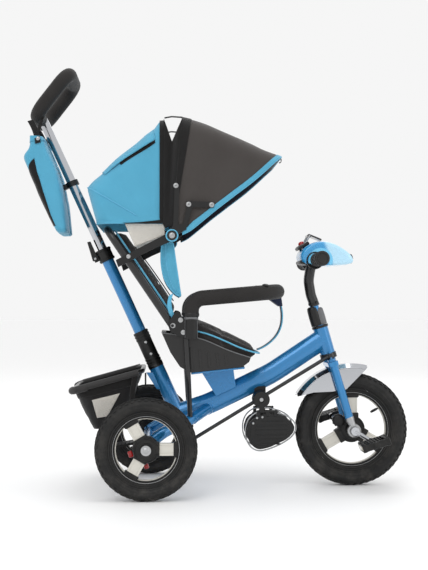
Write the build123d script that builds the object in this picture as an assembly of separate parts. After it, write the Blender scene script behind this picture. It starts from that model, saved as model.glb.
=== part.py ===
"""Children's push tricycle with a canopy, a parent handle and a basket.

Units are millimetres, +X points forwards, +Y to the rider's left and +Z up.
The model is drawn from the point on the floor under the rear axle, and every
piece is moved back by CENTRE_X as it is written, so that the stored origin is
under the middle of the whole tricycle.
"""
import os
from math import atan2, cos, degrees, hypot, radians, sin

from build123d import *

# ---- driving dimensions -------------------------------------------------
REAR_TYRE_R = 127.0
FRONT_TYRE_R = 150.0
WHEELBASE = 543.5
HALF_TRACK = 215.0
CENTRE_X = 178.5

AXLE_R = 6.0
RUN_GAP = 0.05
CLEAR = 0.4

HEAD_TILT = 16.1
HEAD_FOOT = (483.0, 346.0)
HEAD_LENGTH = 83.0
HEAD_R = 20.0
STEERER_R = 12.0

POLE_TILT = 24.7
POLE_FOOT = (69.8, 214.7)
POLE_R = 16.0
POLE_UPPER_R = 12.5
POLE_JOINT = 440.0
POLE_TOP = 833.0
SHAFT_R = 8.0
LEVER_SIDE = 38.0
LEVER_T = -112.0

BACK_FOOT = (64.7, 428.8)
BACK_TILT = 34.2
BACK_LENGTH = 296.0
BACK_HALF = 138.0
BACK_TUBE_R = 10.0

SEAT_HALF = 136.0
BUMPER_Y = 150.0
BUMPER_R = 11.0
FOAM_R = 20.0

HOOD_PIVOT = (63.3, 655.5)
HOOD_REAR_HALF = 150.0
HOOD_FRONT_HALF = 166.0
CLOTH = 2.5

FORK_HALF = 45.0
FORK_R = 11.0
SPINDLE_R = 7.0
CRANK_ANGLE = -32.0
CRANK_REACH = 47.0

BAR_X = 440.0
BAR_Z = 598.0
BAR_R = 11.0
GRIP_R = 17.0
GRIP_END = 190.0

HANDLE_FOOT = (-286.0, 972.0)
HANDLE_TILT = 37.5
HANDLE_REACH = 136.0
HANDLE_HALF = 92.0
HANDLE_R = 9.0
HANDLE_FOAM_R = 19.0


# ---- small helpers ------------------------------------------------------
def up_axis(tilt, foot, travel, y=0.0):
    """Point on an axis that leans back by tilt degrees from the vertical."""
    return Vector(foot[0] - travel * sin(radians(tilt)), y, foot[1] + travel * cos(radians(tilt)))


def rod(start, end, radius):
    """Round bar between two points."""
    start = Vector(*start)
    end = Vector(*end)
    span = end - start
    seat = Plane(origin=start, z_dir=span)
    return seat * Cylinder(radius, span.length, align=(Align.CENTER, Align.CENTER, Align.MIN))


def across(x, z, radius, y0, y1):
    """Round bar along Y."""
    return rod((x, y0, z), (x, y1, z), radius)


def along(tilt, foot, t0, t1, radius):
    """Round bar along a leaning axis."""
    return rod(up_axis(tilt, foot, t0), up_axis(tilt, foot, t1), radius)


def side_plate(points, y0, y1):
    """Flat plate whose outline is given as (x, z) points."""
    corners = [Vector(x, y0, z) for x, z in points]
    face = make_face(Polyline(*corners, close=True))
    return extrude(face, amount=y1 - y0, dir=(0, 1, 0))


def bent_tube(points, radii, radius):
    """Round tube along straight runs with rounded corners."""
    path = FilletPolyline(*points, radius=radii)
    return sweep(Plane(origin=path @ 0, z_dir=path % 0) * Circle(radius), path=path)


def turned(points, x, z, y=0.0):
    """Solid of revolution about the Y axis at (x, z), from (radius, y) points."""
    corners = [Vector(x + r, y + w, z) for r, w in points]
    face = make_face(Polyline(*corners, close=True))
    return revolve(face, axis=Axis((x, 0, z), (0, 1, 0)))


def mirrored(shape):
    """The same piece on the other side of the tricycle."""
    return shape.mirror(Plane.XZ)


def pair(shape):
    """Left and right copies as two separate solids."""
    return shape.solids() + mirrored(shape).solids()


def largest(shape):
    """The biggest solid that a cut left."""
    return max(shape.solids(), key=lambda piece: piece.volume)


def save(name, pieces):
    """Write one node in the stored frame."""
    solids = pieces if isinstance(pieces, list) else list(pieces.solids())
    export_step(Compound(solids).moved(Location((-CENTRE_X, 0, 0))), f"parts/{name}.step")


# ---- wheels -------------------------------------------------------------
def tyre(x, z, outer, inner, half, y):
    """Round-shouldered air tyre."""
    wall = half * 0.82
    section = [
        (inner, -wall), (inner + 0.45 * (outer - inner), -half), (outer - 7, -half + 5),
        (outer, -0.4 * half), (outer, 0.4 * half), (outer - 7, half - 5),
        (inner + 0.45 * (outer - inner), half), (inner, wall),
    ]
    return turned(section, x, z, y)


def rim(x, z, outer, inner, half, y):
    """Deep channel rim with a thin well."""
    section = [
        (outer, -half), (outer, half), (outer - 5, half), (inner + 4, half - 4), (inner, half - 6),
        (inner, 6 - half), (inner + 4, 4 - half), (outer - 5, -half),
    ]
    return turned(section, x, z, y)


def spoke_set(x, z, inner, outer, width, depth, y, first):
    """Three wide spokes between the hub and the rim."""
    bars = []
    for index in range(3):
        angle = first + 120 * index
        bar = Box(outer - inner, depth, width)
        bar = Pos((inner + outer) / 2, 0, 0) * bar
        bars.append(Pos(x, y, z) * Rot(0, -angle, 0) * bar)
    return bars


def rear_wheel(side, name):
    """One rear wheel: tyre, rim, and the hub with its spokes."""
    y = side * HALF_TRACK
    z = REAR_TYRE_R
    save(f"{name}_tyre", tyre(0, z, REAR_TYRE_R, 93.2, 20, y))
    ring = rim(0, z, 93, 75, 17, y)
    save(f"{name}_rim", ring)
    hub = across(0, z, 33, y - 12, y + 12) + across(0, z, 17, side * 194, side * 237)
    for bar in spoke_set(0, z, 25, 75, 31, 16, y, 0):
        hub = hub + bar
    hub = hub - rim(0, z, 94, 75, 17, y) - across(0, z, AXLE_R + RUN_GAP, y - 30, y + 30)
    save(f"{name}_hub", hub)


def front_wheel():
    """Front wheel: tyre, rim and the spoked hub with its drive dogs."""
    x = WHEELBASE
    z = FRONT_TYRE_R
    save("front_tyre", tyre(x, z, FRONT_TYRE_R, 109.2, 22.5, 0))
    save("front_rim", rim(x, z, 109, 91, 19, 0))
    hub = across(x, z, 36, -13, 13) + across(x, z, 17, -37, 37)
    for bar in spoke_set(x, z, 25, 91, 33, 16, 0, 90):
        hub = hub + bar
    hub = hub - rim(x, z, 110, 91, 19, 0) - across(x, z, SPINDLE_R + RUN_GAP, -40, 40)
    save("front_hub", hub)


def pedal_parts():
    """Cranked spindle through the front hub, and a pedal on each end."""
    x = WHEELBASE
    z = FRONT_TYRE_R
    crank = across(x, z, SPINDLE_R, -72, 72)
    for side in (-1, 1):
        tip = (x - side * CRANK_REACH * cos(radians(CRANK_ANGLE)), z - side * CRANK_REACH * sin(radians(CRANK_ANGLE)))
        crank = crank + rod((x, side * 67, z), (tip[0], side * 71, tip[1]), 6)
        crank = crank + across(x, z, 11, side * 60, side * 72)
        crank = crank + across(tip[0], tip[1], 9, side * 66, side * 76)
        crank = crank + across(tip[0], tip[1], 5, side * 70, side * 158)
        block = Box(74, 74, 22)
        block = fillet(block.edges().filter_by(Axis.Y), 8)
        block = Pos(tip[0], side * 120, tip[1]) * Rot(0, -17, 0) * block
        block = block - across(tip[0], tip[1], 5 + RUN_GAP, side * 70, side * 170)
        save("pedal_left" if side > 0 else "pedal_right", block)
    save("crank", crank)


# ---- steering -----------------------------------------------------------
def head(t0, t1, radius):
    """Bar on the steering axis."""
    return along(HEAD_TILT, HEAD_FOOT, t0, t1, radius)


def head_parts():
    """Head tube with its two bearing cups."""
    save("head_tube", head(6, 77, HEAD_R) - head(0, 90, 16))
    cups = []
    for face0, face1, nose0, nose1 in ((-8, 6, 6, 16), (77, 83, 67, 77)):
        cup = head(face0, face1, HEAD_R + 2) + head(nose0, nose1, 15.9)
        cups += (cup - head(-20, 100, STEERER_R + RUN_GAP)).solids()
    save("headset_cups", cups)


def fork_parts():
    """Fork with its steerer, crown, steering arm, legs and dropouts."""
    lean = Rot(0, -HEAD_TILT, 0)
    crown_mid = up_axis(HEAD_TILT, HEAD_FOOT, -21.2)
    fork = Pos(*crown_mid) * lean * fillet(Box(28, 112, 11.6).edges().filter_by(Axis.Z), 9)
    fork = fork + head(-24, 140, STEERER_R)
    arm = Pos(*up_axis(HEAD_TILT, HEAD_FOOT, -12)) * lean * Pos(0, -LEVER_SIDE / 2, 0) * Box(20, LEVER_SIDE, 6.4)
    fork = fork + arm + head(-15.4, -8.4, 17)
    fork = fork + rod(up_axis(HEAD_TILT, HEAD_FOOT, -15, -LEVER_SIDE), up_axis(HEAD_TILT, HEAD_FOOT, -8.8, -LEVER_SIDE), 10)
    fork = fork + rod(up_axis(HEAD_TILT, HEAD_FOOT, -10, -LEVER_SIDE), up_axis(HEAD_TILT, HEAD_FOOT, 10, -LEVER_SIDE), 3)
    top = up_axis(HEAD_TILT, HEAD_FOOT, -22)
    for side in (-1, 1):
        y = side * FORK_HALF
        fork = fork + rod((top.X, y, top.Z), (532, y, 182), FORK_R)
        fork = fork + rod((532, y, 182), (WHEELBASE, side * 49, FRONT_TYRE_R), 8)
        fork = fork + across(WHEELBASE, FRONT_TYRE_R, 17, side * 42, side * 55)
    fork = fork - across(WHEELBASE, FRONT_TYRE_R, SPINDLE_R + RUN_GAP, -80, 80)
    for side in (-1, 1):
        fork = fork - across(WHEELBASE, FRONT_TYRE_R, 20, side * 30, side * 40.5)
    save("fork_frame", fork)
    save("stem_cover", head(83.4, 139, 18.5) - head(80, 150, STEERER_R + 0.1))


def mudguard():
    """Bright guard over the front tyre, with turned-down sides."""
    x = WHEELBASE
    z = FRONT_TYRE_R
    outer = turned([(106, -30), (164, -30), (175, -18), (175, 18), (164, 30), (106, 30)], x, z)
    inner = turned([(100, -27.5), (163, -27.5), (172.5, -17), (172.5, 17), (163, 27.5), (100, 27.5)], x, z)
    shell = outer - inner
    keep = side_plate([(x - 146, z + 88), (x - 153, z + 150), (x - 60, z + 200), (x + 40, z + 200),
                       (x + 40, z + 164), (x - 17, z + 107), (x - 56, z + 101), (x - 104, z + 99)], -40, 40)
    guard = shell & keep
    stay = Pos(*up_axis(HEAD_TILT, HEAD_FOOT, -27.6)) * Rot(0, -HEAD_TILT, 0) * Box(10, 16, 1)
    save("mudguard", guard - stay)


def bar_parts():
    """Bent stem with its cross bar, and two grips."""
    foot = up_axis(HEAD_TILT, HEAD_FOOT, 140.2)
    path = [(foot.X, 0, foot.Z), (436, 0, 508), (430, 0, 545), (434, 0, 572), (BAR_X, 0, BAR_Z)]
    bar = bent_tube(path, 60, 11) + across(BAR_X, BAR_Z, BAR_R, -GRIP_END + 4, GRIP_END - 4)
    save("handlebar", bar)
    grip = across(BAR_X, BAR_Z, GRIP_R, 96, GRIP_END)
    grip = fillet(grip.edges().sort_by(Axis.Y)[-1], 3)
    grip = grip - across(BAR_X, BAR_Z, BAR_R + 0.02, 90, GRIP_END - 4)
    save("grips", pair(grip))


CONSOLE = [
    (402, 630), (428, 645), (456, 651), (486, 646), (524, 624), (544, 606), (546, 594),
    (470, 588), (402, 594),
]


def console_parts():
    """Moulded play console over the middle of the bar."""
    outer = side_plate(CONSOLE, -58, 58)
    outer = fillet(outer.edges().filter_by(Axis.Y), 5)
    inner = side_plate([(408, 626), (430, 640), (456, 646), (484, 641), (520, 620), (538, 604),
                        (538, 570), (408, 570)], -54, 54)
    shell = outer - inner - across(BAR_X, BAR_Z, BAR_R + 0.4, -70, 70)
    shell = shell - side_plate([(424, 560), (424, 600), (456, 600), (456, 560)], -13, 13)
    panel_cut = side_plate([(395, 620), (395, 640), (420, 655), (427, 650), (427.5, 637), (404, 623)], -24, 24)
    button_hole = Pos(413.5, 0, 634.5) * Rot(0, -30, 0) * Cylinder(9.3, 60)
    lamp_cut = side_plate([(536, 596), (536, 612), (560, 612), (560, 596)], -24, 24)
    stalk_foot = (411, 633)
    stalk_top = (429, 665)
    for side in (-1, 1):
        shell = shell + rod((stalk_foot[0], side * 27, stalk_foot[1]), (stalk_top[0], side * 27, stalk_top[1]), 2.5)
    shell = shell + across(stalk_top[0], stalk_top[1], 2.5, -28, 28)
    save("console_shell", largest(shell - panel_cut - lamp_cut - button_hole))
    panel = side_plate([(403.5, 626), (402.5, 631), (424, 643.5), (425.5, 639)], -23.6, 23.6)
    panel = panel - button_hole
    save("console_panel", largest(panel))
    button = Pos(413.5, 0, 634.5) * Rot(0, -30, 0) * (Pos(0, 0, 3) * Cylinder(9, 12))
    save("horn_button", button)
    lamp = Pos(541, 0, 604) * Rot(0, 90, 0) * Box(15, 46, 9)
    save("headlight", lamp - shell.cut(lamp_cut))
    mirror = Pos(446.5, 0, 660.7) * Rot(0, 22, 0) * fillet(Box(36, 48, 4).edges().filter_by(Axis.Z), 9)
    mirror = mirror + across(stalk_top[0], stalk_top[1], 5, -23, 23)
    mirror = mirror - across(stalk_top[0], stalk_top[1], 2.5 + RUN_GAP, -30, 30)
    save("console_mirror", mirror)


# ---- frame --------------------------------------------------------------
def pole(t0, t1, radius):
    """Bar on the parent handle's axis."""
    return along(POLE_TILT, POLE_FOOT, t0, t1, radius)


def main_tube_shape():
    """Oval backbone from the pole socket to the head tube."""
    path = FilletPolyline((82, 0, 191), (165, 0, 219), (329, 0, 298), (470, 0, 391), radius=320)
    section = Plane(origin=path @ 0, x_dir=(0, 1, 0), z_dir=path % 0) * Ellipse(19.9, 28)
    return sweep(section, path=path)


def stay(side):
    """One splayed rear stay from the backbone to the axle tube."""
    route = [(160, side * 6, 208), (112, side * 78, 184), (44, side * 146, 160), (4, side * 168, 132)]
    return bent_tube(route, [60, 60], 14)


def frame_parts():
    """Backbone, socket, rear yoke and seat bracket."""
    spine = main_tube_shape()
    socket = pole(-50, 118, 19.5)
    bracket = side_plate([(-4, 302), (34, 302), (52, 258), (24, 258)], -13, 13)
    socket = socket + bracket
    socket = socket - pole(-9, 130, POLE_R + RUN_GAP) - pole(-60, 0, SHAFT_R + RUN_GAP)
    spine_cut = spine - pole(-60, 130, 19.5) - head(-20, 100, HEAD_R)
    save("main_tube", largest(spine_cut))
    save("pole_socket", socket)
    yoke = across(0, REAR_TYRE_R, 13, -188, 188)
    for side in (-1, 1):
        yoke = yoke + stay(side)
    yoke = yoke - across(0, REAR_TYRE_R, AXLE_R + 0.02, -200, 200)
    yoke = yoke - spine - pole(-120, 130, 20)
    save("rear_yoke", largest(yoke))
    flange = side_plate([(113, 304.4), (247, 318.4), (247, 322.8), (113, 308.8)], -50, 50)
    web = side_plate([(140, 307), (226, 316), (233, 264), (181, 240)], 20, 24)
    save("seat_bracket", flange + web + mirrored(web))
    axle = across(0, REAR_TYRE_R, AXLE_R, -240, 240)
    for side in (-1, 1):
        axle = axle + across(0, REAR_TYRE_R, 12.5, side * 237.6, side * 245)
    save("rear_axle", axle)


def seat_parts():
    """Bucket, cushion and the strap between the rider's legs."""
    outline = [(37, 411), (60, 360), (84, 324), (110, 309.5), (243, 323.5), (260, 336),
               (264, 348), (199, 367), (130, 399)]
    outer = side_plate(outline, -SEAT_HALF, SEAT_HALF)
    outer = fillet(outer.edges().filter_by(Axis.Y).sort_by(Axis.Z)[:4], 9)
    inner = side_plate([(45, 420), (65, 364), (87, 329), (111, 313.8), (241, 327.6), (256, 339),
                        (259, 360), (199, 460)], -SEAT_HALF + 4, SEAT_HALF - 4)
    save("seat_pan", outer - inner)
    cushion = side_plate([(86, 352), (96, 334), (235, 336), (262, 354), (288, 362), (282, 378),
                          (200, 412), (130, 434), (84, 432)], -126, 126)
    save("seat_cushion", fillet(cushion.edges().filter_by(Axis.Y), 6))
    belt = FilletPolyline((338, 0, 490), (350, 0, 440), (334, 0, 392), (294, 0, 362), radius=40)
    strap = sweep(Plane(origin=belt @ 0, x_dir=(0, 1, 0), z_dir=belt % 0) * Rectangle(30, 2.4), path=belt)
    save("crotch_strap", strap)


def side_brackets():
    """Hinge brackets, bumper sockets and struts beside the seat."""
    plate = side_plate([(52, 436), (58, 416), (80, 402), (116, 398), (116, 446), (90, 449), (84, 464), (74, 466)], 149, 153)
    plate = plate + Pos(112, BUMPER_Y + 2, 422) * Cylinder(16, 52)
    plate = plate + across(BACK_FOOT[0], BACK_FOOT[1], 4, 126, 157)
    plate = plate + side_plate([(60, 410), (96, 404), (96, 420), (64, 416)], 136.5, 150)
    plate = plate - across(BACK_FOOT[0], BACK_FOOT[1], 17, 120, 148.6)
    plate = plate + across(BACK_FOOT[0], BACK_FOOT[1], 4, 126, 157)
    plate = plate - Pos(112, BUMPER_Y, 434) * Cylinder(BUMPER_R + RUN_GAP, 72)
    save("side_brackets", pair(largest(plate)))
    strut = bent_tube([(99, 146, 395.5), (105, 146, 296), (111, 84, 190)], 60, 6.5)
    save("seat_struts", pair(largest(strut - stay(1))))


def bumper_parts():
    """Padded bar round the front of the rider."""
    y = BUMPER_Y
    low = 400
    turn = 496
    rise = 20
    front = 341
    route = [(112, -y, low), (112, -y, turn), (front, -y, turn + rise), (front, y, turn + rise), (112, y, turn), (112, y, low)]
    bends = [32, 112, 112, 32]
    bar = bent_tube(route, bends, BUMPER_R)
    save("bumper_tube", bar)
    route[0] = (112, -y, 451)
    route[-1] = (112, y, 451)
    save("bumper_foam", bent_tube(route, bends, FOAM_R) - bent_tube(
        [(112, -y, 440)] + route[1:-1] + [(112, y, 440)], bends, BUMPER_R + 0.05))


def basket_parts():
    """Cloth basket hung behind the socket on a wire rim."""
    half = 128
    rear = (-188, 264)
    front = (-12, 312)
    corners = [(front[0], -half, front[1]), (rear[0], -half, rear[1]), (rear[0], half, rear[1]), (front[0], half, front[1])]
    loop = FilletPolyline(*corners, radius=34, close=True)
    start = loop @ 0
    ring = sweep(Plane(origin=start, z_dir=loop % 0) * Circle(6), path=loop)
    hanger = side_plate([(-8, 300), (-3.8, 300), (-3.8, 268), (-8, 268)], -12, 12)
    save("basket_rim", ring.solids() + (hanger - ring).solids())
    outer = side_plate([(-182, 257), (-20, 301), (-62, 176), (-74, 168), (-118, 160), (-130, 166)], -124, 124)
    outer = fillet(outer.edges().filter_by(Axis.Y).sort_by(Axis.Z)[:4], 5)
    inner = side_plate([(-182, 270), (-177, 254), (-127, 170), (-117, 164.5), (-74, 172.5), (-65, 180),
                        (-24, 302), (-24, 320)], -121, 121)
    save("basket_bag", outer - inner)


# ---- backrest and hood --------------------------------------------------
def back_point(length, lift, y=0.0):
    """Point on the backrest: length up its slope, lift towards the rider."""
    lean = radians(BACK_TILT)
    x = BACK_FOOT[0] - length * sin(lean) + lift * cos(lean)
    z = BACK_FOOT[1] + length * cos(lean) + lift * sin(lean)
    return Vector(x, y, z)


def back_slab(l0, l1, h0, h1, half):
    """Slab in the backrest's own directions."""
    middle = back_point((l0 + l1) / 2, (h0 + h1) / 2)
    slab = Box(h1 - h0, 2 * half, l1 - l0)
    slab = fillet(slab.edges().filter_by(Axis.X), 24)
    return Pos(*middle) * Rot(0, -BACK_TILT, 0) * slab


def backrest_parts():
    """Tube frame, padded back and the cloth wings beside it."""
    half = BACK_HALF
    route = [back_point(-8, 0, -half), back_point(BACK_LENGTH, 0, -half), back_point(BACK_LENGTH, 0, half), back_point(-8, 0, half)]
    hoop = bent_tube(route, 40, BACK_TUBE_R)
    for side in (-1, 1):
        hoop = hoop - across(BACK_FOOT[0], BACK_FOOT[1], 4 + RUN_GAP, side * 120, side * 160)
    save("backrest_frame", hoop)
    save("backrest_pad", back_slab(14, 283, -8, 32, 122))
    wing = side_plate([(60, 634), (82, 502), (70, 514), (56, 540), (44, 560), (40, 585), (46, 620)], 126, 129)
    save("backrest_wings", pair(wing))


def hood_shell(corners, crown, half, bend):
    """Closed solid across the hood: straight sides through corners, an arched crown, rounded shoulders."""
    arch = [Vector(x, -half, z) for x, z in crown]
    sides = [Vector(x, -half, z) for x, z in corners]
    if sides[0] == arch[-1]:
        sides = sides[1:]
    outline = Wire([ThreePointArc(*arch).edge(), *Polyline(arch[-1], *sides, arch[0]).edges()])
    solid = extrude(make_face(outline.edges()), amount=2 * half, dir=(0, 1, 0))
    shoulders = [edge for edge in solid.edges().filter_by(GeomType.CIRCLE)]
    return fillet(shoulders, bend)


def hood_bow(angle, reach, half, radius, corner):
    """U-shaped wire bow that starts at the hood's pivot."""
    lean = radians(angle)
    foot = (HOOD_PIVOT[0] + 8 * cos(lean), HOOD_PIVOT[1] + 8 * sin(lean))
    tip = (HOOD_PIVOT[0] + reach * cos(lean), HOOD_PIVOT[1] + reach * sin(lean))
    route = [(foot[0], -half, foot[1]), (tip[0], -half, tip[1]), (tip[0], half, tip[1]), (foot[0], half, foot[1])]
    return bent_tube(route, corner, radius)


def hood_rear_parts():
    """Arms, bows and cloth of the fixed rear half of the hood."""
    px, pz = HOOD_PIVOT
    arm = side_plate([(-78, 594), (-72, 576), (10, 619), (px + 7, pz - 10), (px + 12, pz), (px + 4, pz + 11),
                      (px - 8, pz + 8), (6, 638)], 150.5, 154.5)
    arm = arm + across(px, pz, 5, 137, 170) + across(px, pz, 8, 167, 170)
    arm = arm + across(-46, 603, 4, 148.3, 157)
    save("canopy_arms", pair(arm))
    bows = hood_bow(96, 288, 141, 3.5, 50) + hood_bow(149, 238, 141, 3.5, 50)
    for side in (-1, 1):
        bows = bows + across(px, pz, 13, side * 139, side * 147)
    for side in (-1, 1):
        bows = bows - across(px, pz, 5.1, side * 130, side * 150)
    save("canopy_rear_bows", bows)
    low = (-127, 684)
    outer = hood_shell([(42, 690), (-42, 684), low], [(-152, 780), (-66, 868), (32, 949)], HOOD_REAR_HALF, 38)
    inner = hood_shell([(60, 949), (60, 660), (-42, 660), (-120, 660), (-124.5, 686)],
                       [(-149.2, 780), (-64.2, 865.2), (32, 946.2)], HOOD_REAR_HALF - CLOTH, 35.5)
    save("canopy_rear_cloth", outer - inner)


def hood_front_parts():
    """Bows, braces and cloth of the half that folds back."""
    px, pz = HOOD_PIVOT
    half = HOOD_FRONT_HALF
    bows = hood_bow(84, 298.6, 159, 3, 54) + hood_bow(38.5, 329.5, 159, 3, 66)
    for side in (-1, 1):
        bows = bows + across(px, pz, 14, side * 155.6, side * 162.6)
    for side in (-1, 1):
        bows = bows - across(px, pz, 5 + RUN_GAP, side * 150, side * 170)
    save("canopy_front_bows", bows)
    outer = hood_shell([(343, 861), (269, 800), (213, 755), (163, 714), (104, 672), (84, 668), (78, 690)],
                       [(93, 959.5), (217, 921), (343, 861)], half, 44)
    inner = hood_shell([(420, 780), (300, 600), (60, 600), (60, 956.7)],
                       [(93, 956.7), (216, 918.2), (341.8, 858.4)], half - CLOTH, 41.5)
    save("canopy_front_cloth", outer - inner)
    brace = side_plate([(66, 676), (78, 672), (82, 782), (70, 786)], half + 0.5, half + 3.5)
    brace = brace + side_plate([(88, 672), (98, 668), (116, 734), (104, 742)], half + 0.5, half + 3.5)
    brace = brace + side_plate([(98, 727), (168, 726), (168, 740), (100, 742)], half + 0.5, half + 3.5)
    brace = brace + side_plate([(60, 666), (80, 658), (100, 672), (90, 684), (66, 684)], half + 0.5, half + 3.5)
    brace = brace - across(px, pz, 14, 140, 180)
    save("canopy_braces", pair(largest(brace)))


# ---- parent handle ------------------------------------------------------
def handle_loop(radius):
    """Closed hand loop at the top of the pole."""
    lean = radians(HANDLE_TILT)
    low = Vector(HANDLE_FOOT[0], 0, HANDLE_FOOT[1])
    rise = Vector(sin(lean), 0, cos(lean)) * HANDLE_REACH
    side = Vector(0, HANDLE_HALF, 0)
    route = FilletPolyline(low - side, low + rise - side, low + rise + side, low + side, radius=38, close=True)
    return sweep(Plane(origin=route @ 0, z_dir=route % 0) * Circle(radius), path=route)


def handle_parts():
    """Two-piece pole, its clamps, the hand loop and the bag."""
    lower = pole(-8.4, POLE_JOINT, POLE_R) - pole(2, POLE_JOINT + 5, POLE_UPPER_R + RUN_GAP)
    lower = lower + pole(LEVER_T - 4, -6, SHAFT_R)
    lever_seat = Pos(*up_axis(POLE_TILT, POLE_FOOT, LEVER_T)) * Rot(0, -POLE_TILT, 0)
    lower = lower + lever_seat * Pos(0, -LEVER_SIDE / 2, 0) * Box(18, LEVER_SIDE + 16, 5)
    lower = lower + lever_seat * Pos(0, -LEVER_SIDE, 10) * Cylinder(3, 22)
    save("pole_lower", lower)
    sleeve = pole(118.6, 216, 19.4) - pole(100, 230, POLE_R + 0.1)
    clamp = pole(POLE_JOINT - 18, POLE_JOINT + 16, 20) - pole(400, POLE_JOINT + 0.2, POLE_R + 0.1)
    clamp = clamp - pole(POLE_JOINT - 1, 500, POLE_UPPER_R + RUN_GAP)
    ear = Pos(*up_axis(POLE_TILT, POLE_FOOT, POLE_JOINT)) * Rot(0, -POLE_TILT, 0) * Pos(-24, 0, 0) * Box(16, 10, 18)
    clamp = clamp + (ear - pole(400, 480, 19))
    hinge = up_axis(POLE_TILT, POLE_FOOT, POLE_JOINT)
    hinge_x = hinge.X - 27 * cos(radians(POLE_TILT))
    hinge_z = hinge.Z - 27 * sin(radians(POLE_TILT))
    clamp = clamp + across(hinge_x, hinge_z, 3, -12, 12)
    save("pole_collars", sleeve.solids() + clamp.solids())
    lever = side_plate([(hinge_x - 7, hinge_z - 6), (hinge_x + 5, hinge_z - 7), (hinge_x + 4, hinge_z + 6),
                        (hinge_x - 14, hinge_z + 46), (hinge_x - 22, hinge_z + 44)], -11, 11)
    lever = lever - across(hinge_x, hinge_z, 3 + RUN_GAP, -20, 20) - side_plate(
        [(hinge_x - 14, hinge_z - 14), (hinge_x + 30, hinge_z - 14), (hinge_x + 30, hinge_z + 17), (hinge_x - 14, hinge_z + 17)], -5.6, 5.6)
    save("clamp_lever", largest(lever))
    upper = pole(300, POLE_TOP, POLE_UPPER_R) - pole(290, POLE_TOP - 10, POLE_UPPER_R - 1.6)
    loop = handle_loop(HANDLE_R)
    save("pole_upper", upper + loop)
    foam = handle_loop(HANDLE_FOAM_R) - loop - pole(700, POLE_TOP + 6, POLE_UPPER_R + 0.1)
    save("handle_foam", foam)


def bag_parts():
    """Hanging cloth bag and the clip that holds it to the pole."""
    outer = side_plate([(-287, 917), (-309, 926), (-335.5, 880), (-318, 838), (-236, 676), (-213, 678),
                        (-222, 760), (-226, 787)], -98, 98)
    inner = side_plate([(-289, 930), (-307, 940), (-331, 881), (-315, 840), (-234.5, 680), (-216.5, 682),
                        (-225.5, 760), (-229.5, 788)], -95, 95)
    save("bag", outer - inner)
    middle = up_axis(POLE_TILT, POLE_FOOT, 647)
    clip = pole(640, 654, 17) - pole(600, 700, POLE_UPPER_R + 0.1)
    tab = Pos(*middle) * Rot(0, -POLE_TILT, 0) * Pos(-20, 0, 0) * Box(11, 14, 14)
    clip = clip + (tab - pole(600, 700, 16) - outer)
    save("bag_clip", largest(clip))


# ---- linkage, footrests and brake ---------------------------------------
ROD_FRONT = up_axis(HEAD_TILT, HEAD_FOOT, 1.5, -LEVER_SIDE)
ROD_REAR = up_axis(POLE_TILT, POLE_FOOT, LEVER_T + 12, -LEVER_SIDE)


def linkage_parts():
    """Rod that carries the parent handle's turn to the fork."""
    link = rod(ROD_REAR, ROD_FRONT, 4.8)
    link = link + rod(up_axis(HEAD_TILT, HEAD_FOOT, -3.5, -LEVER_SIDE), up_axis(HEAD_TILT, HEAD_FOOT, 6.5, -LEVER_SIDE), 8)
    link = link + rod(up_axis(POLE_TILT, POLE_FOOT, LEVER_T + 8, -LEVER_SIDE), up_axis(POLE_TILT, POLE_FOOT, LEVER_T + 16, -LEVER_SIDE), 9)
    link = link - rod(up_axis(HEAD_TILT, HEAD_FOOT, -9, -LEVER_SIDE), up_axis(HEAD_TILT, HEAD_FOOT, 16, -LEVER_SIDE), 3 + RUN_GAP)
    link = link - rod(up_axis(POLE_TILT, POLE_FOOT, LEVER_T, -LEVER_SIDE), up_axis(POLE_TILT, POLE_FOOT, LEVER_T + 40, -LEVER_SIDE), 4.6)
    save("steering_rod", link)
    guide = across(298, 233, 22, -58, -16) + across(298, 217, 8, -64, 64)
    guide = guide + Pos(298, 0, 240) * Box(30, 34, 50)
    for side in (-1, 1):
        guide = guide + Pos(298, side * 58, 209) * Box(12, 12, 18)
        guide = guide - rod((280, side * 58, 202), (320, side * 58, 202), 4 + RUN_GAP)
    guide = guide - rod(ROD_REAR, ROD_FRONT, 14.5) - main_tube_shape()
    save("rod_guide", largest(guide))


def footrest(side):
    """Fold-out footrest hung from the guide."""
    outline = [(300, 194), (268, 176), (258, 150), (266, 120), (288, 102), (318, 108), (366, 130), (384, 152),
               (380, 172), (352, 192)]
    plate = side_plate(outline, 54, 62)
    plate = fillet(plate.edges().filter_by(Axis.Y), 6)
    plate = plate + rod((286, 58, 202), (340, 58, 202), 4)
    for x in (287, 309):
        plate = plate + Pos(x + 4, 58, 195) * Box(8, 8, 16)
    plate = plate + Pos(334, 58, 196) * Box(10, 8, 14)
    plate = plate - Pos(298, 58, 208) * Box(12.8, 14, 30) + rod((286, 58, 202), (340, 58, 202), 4)
    return plate if side > 0 else mirrored(plate)


def brake_parts():
    """Foot brake behind the rear axle."""
    bar = across(-30, 118, 4, -176, 176) + side_plate([(-30, 121), (-31, 115), (-92, 104), (-94, 110)], -34, 34)
    for side in (-1, 1):
        bar = bar + across(-30, 118, 9, side * 166, side * 182)
    for side in (-1, 1):
        clip = side_plate([(-8, 108), (-38, 110), (-38, 126), (-8, 130)], side * 60 - 5, side * 60 + 5)
        clip = clip - across(-30, 118, 4 + RUN_GAP, -180, 180) - across(0, REAR_TYRE_R, 13, -190, 190)
        if side < 0:
            hangers = clip.solids()
        else:
            hangers = hangers + clip.solids()
    save("brake_hangers", hangers)
    save("brake_pedal", bar)


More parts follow.
